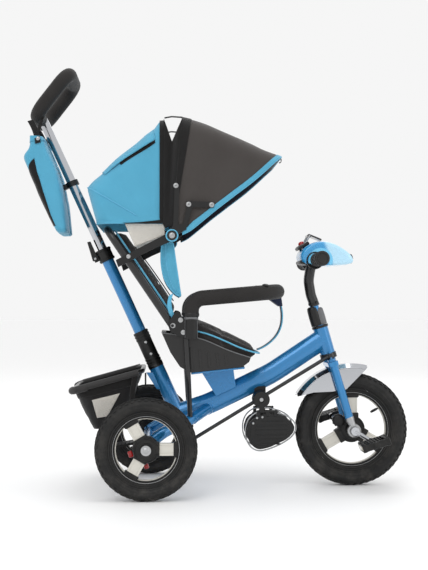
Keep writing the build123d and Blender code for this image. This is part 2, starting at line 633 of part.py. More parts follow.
def main():
    """Build and write every node."""
    os.makedirs("parts", exist_ok=True)
    rear_wheel(-1, "rear_right")
    rear_wheel(1, "rear_left")
    front_wheel()
    pedal_parts()
    head_parts()
    fork_parts()
    mudguard()
    bar_parts()
    console_parts()
    frame_parts()
    seat_parts()
    side_brackets()
    bumper_parts()
    basket_parts()
    backrest_parts()
    hood_rear_parts()
    hood_front_parts()
    handle_parts()
    bag_parts()
    linkage_parts()
    save("footrest_left", footrest(1))
    save("footrest_right", footrest(-1))
    brake_parts()


main()
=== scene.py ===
"""Children's push tricycle: its visible pieces and their finishes.

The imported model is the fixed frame. Each sub-assembly is a class that keeps its sizes in
millimetres, measured from the point on the floor under the rear axle (+X forwards, +Y to the
rider's left, +Z up), builds its pieces there and hands them to the body they move with.
"""
import logging
from dataclasses import dataclass
from enum import Enum
from math import asin, cos, degrees, pi, radians, sin, tan
from typing import Callable, Iterable, Sequence

import bmesh
import bpy
from mathutils import Matrix, Vector, noise


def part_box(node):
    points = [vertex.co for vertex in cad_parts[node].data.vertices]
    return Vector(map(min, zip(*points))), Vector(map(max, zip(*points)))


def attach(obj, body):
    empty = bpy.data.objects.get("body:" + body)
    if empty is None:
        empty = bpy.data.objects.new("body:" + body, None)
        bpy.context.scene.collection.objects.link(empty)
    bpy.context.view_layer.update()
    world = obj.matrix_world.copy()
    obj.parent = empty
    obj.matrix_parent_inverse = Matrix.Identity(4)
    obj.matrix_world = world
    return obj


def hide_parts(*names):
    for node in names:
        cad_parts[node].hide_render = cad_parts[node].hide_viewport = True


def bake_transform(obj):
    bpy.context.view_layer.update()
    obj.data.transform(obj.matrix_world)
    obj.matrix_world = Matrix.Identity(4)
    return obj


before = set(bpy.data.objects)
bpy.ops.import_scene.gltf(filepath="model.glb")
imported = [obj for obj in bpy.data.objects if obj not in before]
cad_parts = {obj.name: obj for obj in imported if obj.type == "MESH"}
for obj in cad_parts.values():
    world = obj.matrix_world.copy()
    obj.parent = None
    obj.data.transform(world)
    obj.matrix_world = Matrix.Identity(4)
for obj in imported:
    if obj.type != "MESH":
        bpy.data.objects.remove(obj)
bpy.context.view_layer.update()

LOG = logging.getLogger("tricycle")
MM = 0.001
AXLE_LOW, AXLE_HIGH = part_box("rear_axle")
AXLE_X = (AXLE_LOW[0] + AXLE_HIGH[0]) / 2
SIDES = (-1, 1)
NAMED_SIDES = ((-1, "right"), (1, "left"))
Point = tuple[float, float, float]
Flat = tuple[float, float]
Shape = bmesh.types.BMesh
Mesh = bpy.types.Mesh
Thing = bpy.types.Object
Socket = bpy.types.NodeSocket
Sockets = bpy.types.bpy_prop_collection
Tree = bpy.types.NodeTree


def at(x: float, y: float, z: float) -> Vector:
    """Metres in the stored frame for a point in millimetres from under the rear axle."""
    return Vector((AXLE_X + x * MM, y * MM, z * MM))


def measured(place: Vector, out: float = 0.0) -> Point:
    """Millimetres from under the rear axle for a point in metres, moved sideways by out."""
    return ((place.x - AXLE_X) / MM, place.y / MM + out, place.z / MM)


def leaning(tilt: float, foot: Flat, travel: float, ahead: float = 0.0, y: float = 0.0) -> Point:
    """Point on an axis that leans back.

    Args:
        tilt: lean from the vertical, in degrees.
        foot: x and z where the axis starts.
        travel: distance up the axis.
        ahead: distance in front of the axis, square to it.
        y: sideways place.

    Returns:
        The point in millimetres.
    """
    lean = radians(tilt)
    return (foot[0] - travel * sin(lean) + ahead * cos(lean), y, foot[1] + travel * cos(lean) + ahead * sin(lean))


def linear(red: int, green: int, blue: int) -> tuple[float, float, float, float]:
    """Linear colour for screen values from 0 to 255."""
    parts = [c / 255 for c in (red, green, blue)]
    parts = [c / 12.92 if c <= 0.04045 else ((c + 0.055) / 1.055) ** 2.4 for c in parts]
    return (*parts, 1.0)


# ---- node helpers and shared effects -----------------------------------
class Desk:
    """Adds and links nodes in one tree."""

    def __init__(self, tree: Tree) -> None:
        """Keep the tree that the nodes go into."""
        self.tree = tree

    def add(self, kind: str, inputs: dict | None = None, **settings: object) -> bpy.types.Node:
        """Add a node.

        Args:
            kind: the node's type, without the ShaderNode prefix.
            inputs: socket values, or sockets to link from, by socket name or number.
            settings: properties of the node itself.

        Returns:
            The new node.
        """
        made = self.tree.nodes.new(kind if kind.startswith("Node") else "ShaderNode" + kind)
        for key, value in settings.items():
            setattr(made, key, value)
        for key, value in (inputs or {}).items():
            if isinstance(value, Socket):
                self.tree.links.new(value, made.inputs[key])
            else:
                made.inputs[key].default_value = value
        return made

    def math(self, operation: str, *values: object) -> Socket:
        """Result of a math node on up to three values or sockets."""
        made = self.add("Math", dict(enumerate(values)), operation=operation)
        return made.outputs[0]

    def ramp(self, value: Socket, low: float, high: float, to_low: float = 0.0, to_high: float = 1.0) -> Socket:
        """Smoothly rescale a value from low..high to to_low..to_high."""
        made = self.add("MapRange", {0: value, 1: low, 2: high, 3: to_low, 4: to_high}, interpolation_type="SMOOTHSTEP")
        return made.outputs[0]

    def mix(self, factor: object, first: object, second: object) -> Socket:
        """Blend two colours by a factor."""
        made = self.add("Mix", {0: factor, 6: first, 7: second}, data_type="RGBA")
        return made.outputs[2]


def new_group(name: str, inputs: dict[str, object], outputs: dict[str, str]) -> tuple[Tree, Desk, Sockets, Sockets]:
    """Start a shader node group.

    Args:
        name: the group's name.
        inputs: default value by socket name; a 4-tuple is a colour and None a vector.
        outputs: socket kind by socket name.

    Returns:
        The tree, its desk, and the sockets that come in and go out.
    """
    tree = bpy.data.node_groups.new(name, "ShaderNodeTree")
    for label, value in inputs.items():
        kind = "NodeSocketVector" if value is None else "NodeSocketColor" if isinstance(value, tuple) else "NodeSocketFloat"
        socket = tree.interface.new_socket(label, in_out="INPUT", socket_type=kind)
        if value is not None:
            socket.default_value = value
    for label, kind in outputs.items():
        tree.interface.new_socket(label, in_out="OUTPUT", socket_type=kind)
    desk = Desk(tree)
    return tree, desk, desk.add("NodeGroupInput").outputs, desk.add("NodeGroupOutput").inputs


def mottle_group() -> Tree:
    """Group that varies a colour softly, as dye, moulding and handling do."""
    tree, desk, come, go = new_group(
        "soft_mottle", {"Vector": None, "Colour": (0.5, 0.5, 0.5, 1.0), "Scale": 8.0, "Amount": 0.1},
        {"Colour": "NodeSocketColor", "Mask": "NodeSocketFloat"})
    broad = desk.add("TexNoise", {"Vector": come["Vector"], "Scale": come["Scale"], "Detail": 4.0, "Roughness": 0.6})
    swing = desk.math("MULTIPLY", desk.math("SUBTRACT", broad.outputs[0], 0.5), come["Amount"])
    level = desk.math("ADD", 1.0, desk.math("MULTIPLY", swing, 2.0))
    scaled = desk.add("VectorMath", {0: come["Colour"], "Scale": level}, operation="SCALE")
    tree.links.new(scaled.outputs[0], go["Colour"])
    tree.links.new(broad.outputs[0], go["Mask"])
    return tree


def grain_group() -> Tree:
    """Group that gives the fine height of moulded plastic, rubber or foam."""
    tree, desk, come, go = new_group("moulded_grain", {"Vector": None, "Scale": 600.0, "Pits": 0.5}, {"Height": "NodeSocketFloat"})
    fine = desk.add("TexNoise", {"Vector": come["Vector"], "Scale": come["Scale"], "Detail": 3.0})
    cells = desk.add("TexVoronoi", {"Vector": come["Vector"], "Scale": come["Scale"]})
    height = desk.add("Mix", {0: come["Pits"], 2: fine.outputs[0], 3: cells.outputs["Distance"]}, data_type="FLOAT")
    tree.links.new(height.outputs[0], go["Height"])
    return tree


def weave_group() -> Tree:
    """Group that gives a plain weave from a vector in metres."""
    tree, desk, come, go = new_group("plain_weave", {"Vector": None, "Threads": 1400.0}, {"Height": "NodeSocketFloat", "Mask": "NodeSocketFloat"})
    split = desk.add("SeparateXYZ", {0: come["Vector"]})
    turns = [desk.math("MULTIPLY", split.outputs[axis], come["Threads"]) for axis in range(3)]
    warp = desk.math("SINE", desk.math("ADD", turns[0], turns[2]))
    weft = desk.math("SINE", desk.math("SUBTRACT", desk.math("ADD", turns[1], turns[2]), turns[0]))
    height = desk.math("MULTIPLY", warp, weft)
    tree.links.new(height, go["Height"])
    tree.links.new(desk.ramp(height, -0.6, 0.8), go["Mask"])
    return tree


def wear_group() -> Tree:
    """Group that scatters fine rub marks into a roughness value."""
    tree, desk, come, go = new_group("rub_marks", {"Vector": None, "Roughness": 0.4, "Amount": 0.1, "Scale": 20.0}, {"Roughness": "NodeSocketFloat"})
    cloud = desk.add("TexNoise", {"Vector": come["Vector"], "Scale": come["Scale"], "Detail": 5.0, "Distortion": 0.4})
    rubbed = desk.math("MULTIPLY", desk.ramp(cloud.outputs[0], 0.45, 0.7), come["Amount"])
    tree.links.new(desk.math("ADD", come["Roughness"], rubbed), go["Roughness"])
    return tree


def dust_group() -> Tree:
    """Group that lays pale dust in patches, most on low parts."""
    tree, desk, come, go = new_group(
        "settled_dust", {"Vector": None, "Colour": (0.1, 0.1, 0.1, 1.0), "Dust": (0.5, 0.46, 0.4, 1.0), "Amount": 0.2}, {"Colour": "NodeSocketColor"})
    cloud = desk.add("TexNoise", {"Vector": come["Vector"], "Scale": 30.0, "Detail": 6.0, "Roughness": 0.7})
    height = desk.add("SeparateXYZ", {0: come["Vector"]}).outputs[2]
    low = desk.ramp(height, 0.0, 0.32, 1.0, 0.35)
    cover = desk.math("MULTIPLY", desk.math("MULTIPLY", desk.ramp(cloud.outputs[0], 0.4, 0.75), low), come["Amount"])
    tree.links.new(desk.mix(cover, come["Colour"], come["Dust"]), go["Colour"])
    return tree


class Effects:
    """The shared node groups, each built once."""

    def __init__(self) -> None:
        """Build every group."""
        self.mottle = mottle_group()
        self.grain = grain_group()
        self.weave = weave_group()
        self.wear = wear_group()
        self.dust = dust_group()


EFFECTS = Effects()


class Surface(Enum):
    """How a finish's fine relief is made."""

    SMOOTH = "smooth"
    GRAINED = "grained"
    WOVEN = "woven"
    WOVEN_SOLID = "woven on the object's own axes"
    FOAMED = "foamed"
    BRUSHED = "brushed"


@dataclass(frozen=True)
class Finish:
    """One finish: its colour, shine and fine relief."""

    name: str
    colour: tuple[int, int, int]
    roughness: float = 0.45
    metallic: float = 0.0
    coat: float = 0.0
    sheen: float = 0.0
    specular: float = 0.5
    surface: Surface = Surface.SMOOTH
    relief: float = 0.1
    scale: float = 600.0
    mottle: float = 0.08
    mottle_scale: float = 12.0
    rub: float = 0.08
    dust: float = 0.0
    alpha_holes: bool = False
    slot: str = ""

    def material(self) -> bpy.types.Material:
        """The material of this finish, built on first use."""
        known = bpy.data.materials.get("finish_" + self.name)
        if known:
            return known
        made = bpy.data.materials.new("finish_" + self.name)
        made.use_nodes = True
        made.diffuse_color = linear(*self.colour)
        tree = made.node_tree
        desk = Desk(tree)
        shader = tree.nodes["Principled BSDF"]
        shader.inputs["Metallic"].default_value = self.metallic
        shader.inputs["Coat Weight"].default_value = self.coat
        shader.inputs["Coat Roughness"].default_value = 0.08
        shader.inputs["Sheen Weight"].default_value = self.sheen
        shader.inputs["Sheen Roughness"].default_value = 0.45
        shader.inputs["Specular IOR Level"].default_value = self.specular
        place = desk.add("TexCoord")
        solid = place.outputs["Object"]
        vector = place.outputs["UV"] if self.surface is Surface.WOVEN else solid
        colour = self.base(desk, solid)
        mottled = desk.add("Group", node_tree=EFFECTS.mottle)
        tree.links.new(solid, mottled.inputs["Vector"])
        tree.links.new(colour, mottled.inputs["Colour"])
        mottled.inputs["Scale"].default_value = self.mottle_scale
        mottled.inputs["Amount"].default_value = self.mottle
        colour = mottled.outputs["Colour"]
        height = self.heights(desk, vector, solid)
        if self.surface in (Surface.WOVEN, Surface.WOVEN_SOLID):
            # Painted shade and highlight in the weave: its hollows are darkened and its raised threads lightened.
            shaded = desk.add("VectorMath", {0: colour, "Scale": desk.ramp(height, -0.8, 0.8, 0.82, 1.1)}, operation="SCALE")
            colour = shaded.outputs[0]
        if self.dust:
            powder = desk.add("Group", node_tree=EFFECTS.dust)
            tree.links.new(solid, powder.inputs["Vector"])
            tree.links.new(colour, powder.inputs["Colour"])
            powder.inputs["Amount"].default_value = self.dust
            colour = powder.outputs["Colour"]
        tree.links.new(colour, shader.inputs["Base Color"])
        rubbed = desk.add("Group", node_tree=EFFECTS.wear)
        tree.links.new(solid, rubbed.inputs["Vector"])
        rubbed.inputs["Roughness"].default_value = self.roughness
        rubbed.inputs["Amount"].default_value = self.rub
        tree.links.new(rubbed.outputs["Roughness"], shader.inputs["Roughness"])
        if self.relief:
            bump = desk.add("Bump", {"Height": height, "Strength": self.relief, "Distance": 0.0006})
            tree.links.new(bump.outputs[0], shader.inputs["Normal"])
        if self.alpha_holes:
            tree.links.new(desk.ramp(height, -0.25, 0.05, 0.45, 1.0), shader.inputs["Alpha"])
        return made

    def base(self, desk: Desk, solid: Socket) -> Socket:
        """The finish's plain colour as a socket."""
        made = desk.add("RGB")
        made.outputs[0].default_value = linear(*self.colour)
        return made.outputs[0]

    def heights(self, desk: Desk, vector: Socket, solid: Socket) -> Socket:
        """Fine relief as a height."""
        if self.surface in (Surface.WOVEN, Surface.WOVEN_SOLID):
            weave = self.group(desk, EFFECTS.weave, vector)
            weave.inputs["Threads"].default_value = self.scale
            return weave.outputs["Height"]
        if self.surface is Surface.BRUSHED:
            stretched = desk.add("Mapping", {"Vector": solid, "Scale": (1.0, 8.0, 8.0)})
            return desk.add("TexNoise", {"Vector": stretched.outputs[0], "Scale": 90.0, "Detail": 4.0}).outputs[0]
        grain = self.group(desk, EFFECTS.grain, solid)
        grain.inputs["Scale"].default_value = self.scale
        grain.inputs["Pits"].default_value = 0.8 if self.surface is Surface.FOAMED else 0.35
        return grain.outputs["Height"]

    def group(self, desk: Desk, tree: Tree, vector: Socket) -> bpy.types.Node:
        """Place a shared group and feed its vector."""
        made = desk.add("Group", node_tree=tree)
        desk.tree.links.new(vector, made.inputs["Vector"])
        return made


# ---- finishes ------------------------------------------------------------
@dataclass(frozen=True)
class ConsoleFinish(Finish):
    """Glossy console: strong blue behind, pale in front, with a lighter arc round the grip."""

    front: tuple[int, int, int] = (176, 218, 240)
    arc: tuple[int, int, int] = (110, 196, 236)
    middle: Flat = (455.0, 599.0)

    def base(self, desk: Desk, solid: Socket) -> Socket:
        """Blue, pale and arc zones by distance from the bar."""
        centre = at(self.middle[0], 0, self.middle[1])
        split = desk.add("SeparateXYZ", {0: solid})
        ahead = desk.math("SUBTRACT", split.outputs[0], centre.x)
        above = desk.math("SUBTRACT", split.outputs[2], centre.z)
        reach = desk.math("SQRT", desk.math("ADD", desk.math("MULTIPLY", ahead, ahead), desk.math("MULTIPLY", above, above)))
        pale = desk.ramp(desk.math("ADD", ahead, desk.math("MULTIPLY", above, 0.35)), 0.020, 0.034)
        body = desk.mix(pale, linear(*self.colour), linear(*self.front))
        inside = desk.ramp(reach, 0.0225, 0.0245)
        outside = desk.ramp(reach, 0.031, 0.033, 1.0, 0.0)
        return desk.mix(desk.math("MULTIPLY", inside, outside), body, linear(*self.arc))


@dataclass(frozen=True)
class Cloth(Finish):
    """Plain woven cloth or webbing."""

    surface: Surface = Surface.WOVEN
    relief: float = 0.35
    scale: float = 5200.0
    specular: float = 0.25


PAINT = Finish("blue_paint", (38, 124, 182), 0.24, 0.35, 0.6, relief=0.02, scale=900.0, mottle=0.05, rub=0.05, slot="frame_paint")
BLACK_PAINT = Finish("black_paint", (13, 13, 14), 0.34, 0.0, 0.2, relief=0.04, scale=700.0, rub=0.1, slot="black_metal")
CHROME = Finish("chrome", (184, 186, 190), 0.08, 1.0, relief=0.0, mottle=0.03, rub=0.08, slot="chrome")
STEEL = Finish("steel", (176, 177, 178), 0.28, 1.0, surface=Surface.BRUSHED, relief=0.05, rub=0.12, slot="steel")
SPOKE = Finish("spoke_silver", (206, 203, 194), 0.34, 0.15, surface=Surface.BRUSHED, relief=0.06, mottle=0.04, rub=0.1, slot="spoke_silver")
HUB_BLACK = Finish("hub_plastic", (12, 12, 12), 0.42, surface=Surface.GRAINED, relief=0.1, scale=900.0, dust=0.03, specular=0.35, slot="black_plastic")
PLASTIC = Finish("black_plastic", (14, 14, 14), 0.4, surface=Surface.GRAINED, relief=0.14, scale=800.0, specular=0.4, slot="black_plastic")
GLOSS_BLACK = Finish("gloss_black", (18, 18, 20), 0.16, coat=0.4, relief=0.02, scale=500.0, rub=0.05)
# Painted highlight: the black plastic painted light grey where it catches the light, on the bucket's rim line, the
# socket ribs and the stem cover's front lobe.
PLASTIC_HIGHLIGHT = Finish("painted_highlight_plastic", (98, 99, 101), 0.36, surface=Surface.GRAINED, relief=0.08, scale=800.0, slot="black_plastic")
SEAT_SHELL = Finish("seat_plastic", (17, 16, 16), 0.34, surface=Surface.GRAINED, relief=0.12, scale=500.0, slot="seat_plastic")
RUBBER = Finish("tyre_rubber", (16, 16, 16), 0.55, surface=Surface.GRAINED, relief=0.2, scale=500.0, dust=0.06, specular=0.35, slot="tyre")
FOAM = Finish("closed_foam", (34, 32, 31), 0.72, surface=Surface.FOAMED, relief=0.4, scale=420.0, sheen=0.08, specular=0.3, slot="foam")
GRIP = Finish("grip_rubber", (18, 17, 17), 0.6, surface=Surface.GRAINED, relief=0.25, scale=500.0, slot="grip_rubber")
SKY = Cloth("sky_cloth", (82, 164, 196), 0.72, sheen=0.3, specular=0.3, mottle=0.07, slot="canopy_blue")
SKY_SOLID = Cloth("sky_webbing", (96, 178, 212), 0.7, surface=Surface.WOVEN_SOLID, relief=0.3, scale=4200.0, sheen=0.25, specular=0.3, slot="canopy_blue")
CHARCOAL = Cloth("charcoal_cloth", (66, 62, 60), 0.78, sheen=0.25, mottle=0.08, slot="canopy_black")
BLACK_CLOTH = Cloth("black_cloth", (22, 21, 21), 0.8, sheen=0.2, slot="canopy_black")
PAD_CLOTH = Cloth("pad_cloth", (40, 37, 36), 0.82, surface=Surface.WOVEN_SOLID, scale=4200.0, sheen=0.3, mottle=0.1, slot="seat_cloth")
NAVY = Cloth("navy_webbing", (30, 40, 66), 0.75, surface=Surface.WOVEN_SOLID, relief=0.3, scale=4200.0, sheen=0.2, slot="seat_cloth")
MESH = Cloth("pale_mesh", (214, 210, 202), 0.8, relief=0.4, scale=3000.0, sheen=0.1, specular=0.2, alpha_holes=True, slot="canopy_black")
CONSOLE = ConsoleFinish("console_gloss", (52, 150, 206), 0.16, coat=0.5, relief=0.0, mottle=0.03, rub=0.04, slot="console_blue")
LENS = Finish("lamp_lens", (168, 172, 176), 0.14, coat=0.6, relief=0.05, surface=Surface.GRAINED, scale=300.0, slot="lens")
PALE = Finish("pale_reflector", (196, 190, 176), 0.25, coat=0.5, surface=Surface.GRAINED, relief=0.3, scale=260.0, slot="lens")
NAVY_CLOTH = Cloth("navy_lining", (24, 28, 42), 0.8, relief=0.3, sheen=0.15, slot="canopy_black")
BASKET = Cloth("basket_nylon", (22, 21, 22), 0.7, scale=4600.0, sheen=0.2, specular=0.3, mottle=0.12, slot="basket_cloth")
BLACK_ROUGH = Finish("rough_black", (40, 39, 39), 0.75, surface=Surface.FOAMED, relief=0.3, scale=500.0, sheen=0.1, slot="basket_cloth")
RED = Finish("red_plastic", (176, 28, 30), 0.3, coat=0.3, surface=Surface.GRAINED, relief=0.08, scale=600.0, slot="red_plastic")


# ---- mesh helpers ----------------------------------------------------------
def piece(name: str, source: Shape | Mesh, finish: Finish, body: str | None, replaces: Iterable[str] = (),
          sharp: float = 38.0, tidy: bool = True, slot: str = "") -> Thing:
    """Turn a mesh into a named piece of the tricycle.

    Args:
        name: the piece's name.
        source: a bmesh, which is freed, or a mesh.
        finish: its finish.
        body: the body that it rides on, or None where the caller blends it.
        replaces: nodes that it stands for.
        sharp: edges above this angle stay crisp, in degrees.
        tidy: merge doubles and point the faces outwards.
        slot: not used.

    Returns:
        The object.
    """
    if isinstance(source, Mesh):
        mesh = source
        shape = bmesh.new()
        shape.from_mesh(mesh)
    else:
        mesh = bpy.data.meshes.new(name)
        shape = source
    if tidy:
        bmesh.ops.remove_doubles(shape, verts=shape.verts, dist=2e-6)
        bmesh.ops.recalc_face_normals(shape, faces=shape.faces)
    shape.to_mesh(mesh)
    shape.free()
    mesh.shade_smooth()
    mesh.set_sharp_from_angle(angle=radians(sharp))
    mesh.materials.clear()
    mesh.materials.append(finish.material())
    made = bpy.data.objects.new(name, mesh)
    bpy.context.scene.collection.objects.link(made)
    if body:
        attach(made, body)
    slot or finish.slot
    if replaces:
        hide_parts(*replaces)
    LOG.info("%s: %d faces", name, len(mesh.polygons))
    return made


def thicken(made: Thing, thickness: float, offset: float) -> Thing:
    """Give a sheet its thickness in millimetres, to the side that offset says."""
    wall = made.modifiers.new("thickness", "SOLIDIFY")
    wall.thickness = thickness * MM
    wall.offset = offset
    return made


def cloth(name: str, source: Shape, finish: Finish, body: str | None, thickness: float,
          replaces: Iterable[str] = (), offset: float = 0.0, slot: str = "") -> Thing:
    """Turn a sheet into a piece of cloth with its thickness.

    Args:
        name: the piece's name.
        source: the sheet, which is freed.
        finish: its finish.
        body: the body that it rides on, or None where the caller blends it.
        thickness: thickness in millimetres.
        replaces: nodes that it stands for.
        offset: -1 to 1, the side of the sheet that the thickness goes to.
        slot: handed on to piece, which does not use it.

    Returns:
        The object.
    """
    return thicken(piece(name, source, finish, body, replaces, 180, slot=slot), thickness, offset)


def smoother(made: Thing) -> Thing:
    """Add a subdivision surface."""
    surface = made.modifiers.new("smooth", "SUBSURF")
    surface.levels = surface.render_levels = 1
    return made


def round_over(shape: Shape, edges: Iterable[bmesh.types.BMEdge], width: float, segments: int = 2) -> None:
    """Bevel edges by a width in millimetres."""
    bmesh.ops.bevel(shape, geom=list(edges), offset=width * MM, segments=segments, profile=0.5, affect="EDGES", material=-1, clamp_overlap=True)


def loop_of(shape: Shape, points: Iterable[Vector], closed: bool = True) -> list[bmesh.types.BMEdge]:
    """Edges through points."""
    verts = [shape.verts.new(p) for p in points]
    pairs = list(zip(verts, verts[1:] + verts[:1])) if closed else list(zip(verts, verts[1:]))
    return [shape.edges.new(pair) for pair in pairs]


def plate(points: Sequence[Flat], y0: float, y1: float, bevel: float = 0.8, corner: float = 0.0, segments: int = 2) -> Shape:
    """Flat plate in the side view.

    Args:
        points: outline as x and z.
        y0: one face.
        y1: the other face.
        bevel: rounding of its edges.
        corner: rounding of its outline's corners.
        segments: steps in the edge rounding.

    Returns:
        The mesh.
    """
    shape = bmesh.new()
    face = shape.faces.new([shape.verts.new(at(x, y0, z)) for x, z in points])
    if corner:
        bmesh.ops.bevel(shape, geom=face.verts[:], offset=corner * MM, segments=5, profile=0.5, affect="VERTICES", material=-1, clamp_overlap=True)
    grown = bmesh.ops.extrude_face_region(shape, geom=shape.faces[:])
    moved = [item for item in grown["geom"] if isinstance(item, bmesh.types.BMVert)]
    bmesh.ops.translate(shape, verts=moved, vec=(0, (y1 - y0) * MM, 0))
    if bevel:
        flat = [e for e in shape.edges if abs(e.verts[0].co.y - e.verts[1].co.y) < 1e-7]
        round_over(shape, flat, bevel, segments)
    return shape


def block(middle: Point, size: Point, bevel: float, tilt: float = 0.0, segments: int = 2) -> Shape:
    """Rounded box, turned by tilt degrees about Y (nose up)."""
    shape = bmesh.new()
    bmesh.ops.create_cube(shape, size=1.0)
    bmesh.ops.scale(shape, vec=Vector(size) * MM, verts=shape.verts)
    round_over(shape, shape.edges, bevel, segments)
    turn = Matrix.Translation(at(*middle)) @ Matrix.Rotation(radians(-tilt), 4, "Y")
    bmesh.ops.transform(shape, matrix=turn, verts=shape.verts)
    return shape


def lathe(section: Sequence[Flat], middle: Point, axis: Sequence[float] = (0, 1, 0), steps: int = 64, closed: bool = False) -> Shape:
    """Turned shape.

    Args:
        section: (radius, place along the axis) points in millimetres.
        middle: the point that the places are measured from.
        axis: direction of the axis.
        steps: facets round it.
        closed: join the last point to the first.

    Returns:
        The mesh.
    """
    shape = bmesh.new()
    edges = loop_of(shape, [Vector((r * MM, 0, w * MM)) for r, w in section], closed)
    bmesh.ops.spin(shape, geom=shape.verts[:] + edges, cent=(0, 0, 0), axis=(0, 0, 1), dvec=(0, 0, 0), angle=2 * pi, steps=steps,
                   use_merge=True, use_duplicate=False)
    bmesh.ops.remove_doubles(shape, verts=shape.verts, dist=2e-6)
    turn = Vector((0, 0, 1)).rotation_difference(Vector(axis)).to_matrix().to_4x4()
    bmesh.ops.transform(shape, matrix=Matrix.Translation(at(*middle)) @ turn, verts=shape.verts)
    return shape


def join(*shapes: Shape) -> Shape:
    """One mesh holding all the given ones, which are freed."""
    whole = bmesh.new()
    for shape in shapes:
        bmesh.ops.recalc_face_normals(shape, faces=shape.faces)
        part = bpy.data.meshes.new("part")
        shape.to_mesh(part)
        shape.free()
        whole.from_mesh(part)
        bpy.data.meshes.remove(part)
    return whole


def across(shape: Shape) -> Shape:
    """The shape with its mirror image on the other side of the tricycle."""
    other = shape.copy()
    bmesh.ops.scale(other, vec=(1, -1, 1), verts=other.verts)
    bmesh.ops.reverse_faces(other, faces=other.faces)
    return join(shape, other)


def around(shape: Shape, middle: Point, count: int) -> Shape:
    """The shape repeated about a sideways axis."""
    bmesh.ops.spin(shape, geom=shape.verts[:] + shape.edges[:] + shape.faces[:], cent=at(*middle), axis=(0, 1, 0), dvec=(0, 0, 0),
                   angle=2 * pi * (count - 1) / count, steps=count - 1, use_duplicate=True, use_merge=False)
    return shape


def swept(points: Sequence[Point], radii: float | Sequence[float], radius: float, closed: bool = False, sides: int = 4) -> Mesh:
    """Round tube along straight runs with rounded corners.

    Args:
        points: the corners in millimetres.
        radii: bend radius of every corner, or of each.
        radius: the tube's radius.
        closed: run back to the first point.
        sides: bevel resolution.

    Returns:
        The tube's mesh.
    """
    curve = bpy.data.curves.new("route", "CURVE")
    curve.dimensions = "3D"
    curve.bevel_depth = radius * MM
    curve.bevel_resolution = sides
    curve.resolution_u = 10
    curve.use_fill_caps = True
    corners = [at(*p) for p in points]
    count = len(corners)
    stops: list[tuple[Vector, Vector, Vector]] = []
    for index, corner in enumerate(corners):
        if not closed and index in (0, count - 1):
            nearby = corners[1] if index == 0 else corners[count - 2]
            step = (nearby - corner) * 0.1
            stops.append((corner - step, corner, corner + step) if index == 0 else (corner + step, corner, corner - step))
            continue
        back = (corners[index - 1] - corner).normalized()
        ahead = (corners[(index + 1) % count] - corner).normalized()
        bend = radii if isinstance(radii, (int, float)) else radii[index - (0 if closed else 1)]
        half = back.angle(ahead) / 2
        reach = bend * MM / tan(half)
        pull = bend * MM * 4 / 3 * tan((pi / 2 - half) / 2)
        enter = corner + back * reach
        leave = corner + ahead * reach
        stops.append((enter + back * reach * 0.2, enter, enter - back * pull))
        stops.append((leave - ahead * pull, leave, leave + ahead * reach * 0.2))
    spline = curve.splines.new("BEZIER")
    spline.bezier_points.add(len(stops) - 1)
    for spot, (left, middle, right) in zip(spline.bezier_points, stops):
        spot.handle_left_type = spot.handle_right_type = "FREE"
        spot.handle_left, spot.co, spot.handle_right = left, middle, right
    spline.use_cyclic_u = closed
    return baked(curve)


def baked(curve: bpy.types.Curve) -> Mesh:
    """The mesh of a curve, which is removed."""
    holder = bpy.data.objects.new("route", curve)
    mesh = bpy.data.meshes.new_from_object(holder)
    bpy.data.objects.remove(holder)
    bpy.data.curves.remove(curve)
    return mesh


def soft_line(points: Sequence[Point], radius: float = 0.0, closed: bool = False) -> Mesh:
    """Mesh of a smooth line, or of a round tube along it."""
    curve = bpy.data.curves.new("route", "CURVE")
    curve.dimensions = "3D"
    curve.bevel_depth = radius * MM
    curve.bevel_resolution = 3
    curve.resolution_u = 8
    curve.use_fill_caps = True
    spline = curve.splines.new("NURBS")
    spline.points.add(len(points) - 1)
    for spot, p in zip(spline.points, points):
        spot.co = (*at(*p), 1.0)
    spline.order_u = min(4, len(points))
    spline.use_endpoint_u = not closed
    spline.use_cyclic_u = closed
    return baked(curve)


def line_points(points: Sequence[Point], closed: bool = False) -> list[Vector]:
    """Evenly read points of the smooth line through a few points, in metres."""
    mesh = soft_line(points, 0.0, closed)
    found = [v.co.copy() for v in mesh.vertices]
    bpy.data.meshes.remove(mesh)
    return found


def sheet(size: Flat, cells: tuple[int, int], place: Callable[[float, float], Vector]) -> Shape:
    """Grid laid over a shape.

    Args:
        size: the cloth's flat size in millimetres, which sets its UV map.
        cells: number of cells each way.
        place: point in metres for a place on the cloth, each way from 0 to 1.

    Returns:
        The mesh with its UV map in metres.
    """
    shape = bmesh.new()
    bmesh.ops.create_grid(shape, x_segments=cells[0], y_segments=cells[1], size=0.5, calc_uvs=True)
    layer = shape.loops.layers.uv.verify()
    for face in shape.faces:
        for corner in face.loops:
            spot = corner.vert.co
            corner[layer].uv = ((spot.x + 0.5) * size[0] * MM, (spot.y + 0.5) * size[1] * MM)
    for vert in shape.verts:
        vert.co = place(vert.co.x + 0.5, vert.co.y + 0.5)
    return shape


def strap(points: Sequence[Point], width: float, across_it: Sequence[float] = (0, 1, 0), curl: float = 0.0) -> Shape:
    """Flat webbing along a smooth line.

    Args:
        points: its middle line.
        width: its width.
        across_it: direction of its width.
        curl: how far its middle stands off its edges.

    Returns:
        A sheet that still needs its thickness.
    """
    run = line_points(points)
    length = sum((b - a).length for a, b in zip(run, run[1:])) / MM
    side = Vector(across_it).normalized() * MM

    def place(u: float, v: float) -> Vector:
        """Point on the webbing."""
        spot = u * (len(run) - 1)
        index = min(int(spot), len(run) - 2)
        here = run[index].lerp(run[index + 1], spot - index)
        lift = (run[index + 1] - run[index]).normalized().cross(side / MM) * curl * MM * (1 - (2 * v - 1) ** 2)
        return here + side * width * (v - 0.5) + lift

    return sheet((length, width), (max(12, len(run)), 4), place)


def ruffle(spot: Vector, scale: float, depth: float, seed: float = 0.0) -> float:
    """Soft random height in metres at a point."""
    return noise.fractal(Vector((spot.x, spot.y, spot.z + seed)) * scale, 0.6, 2.0, 3) * depth * MM


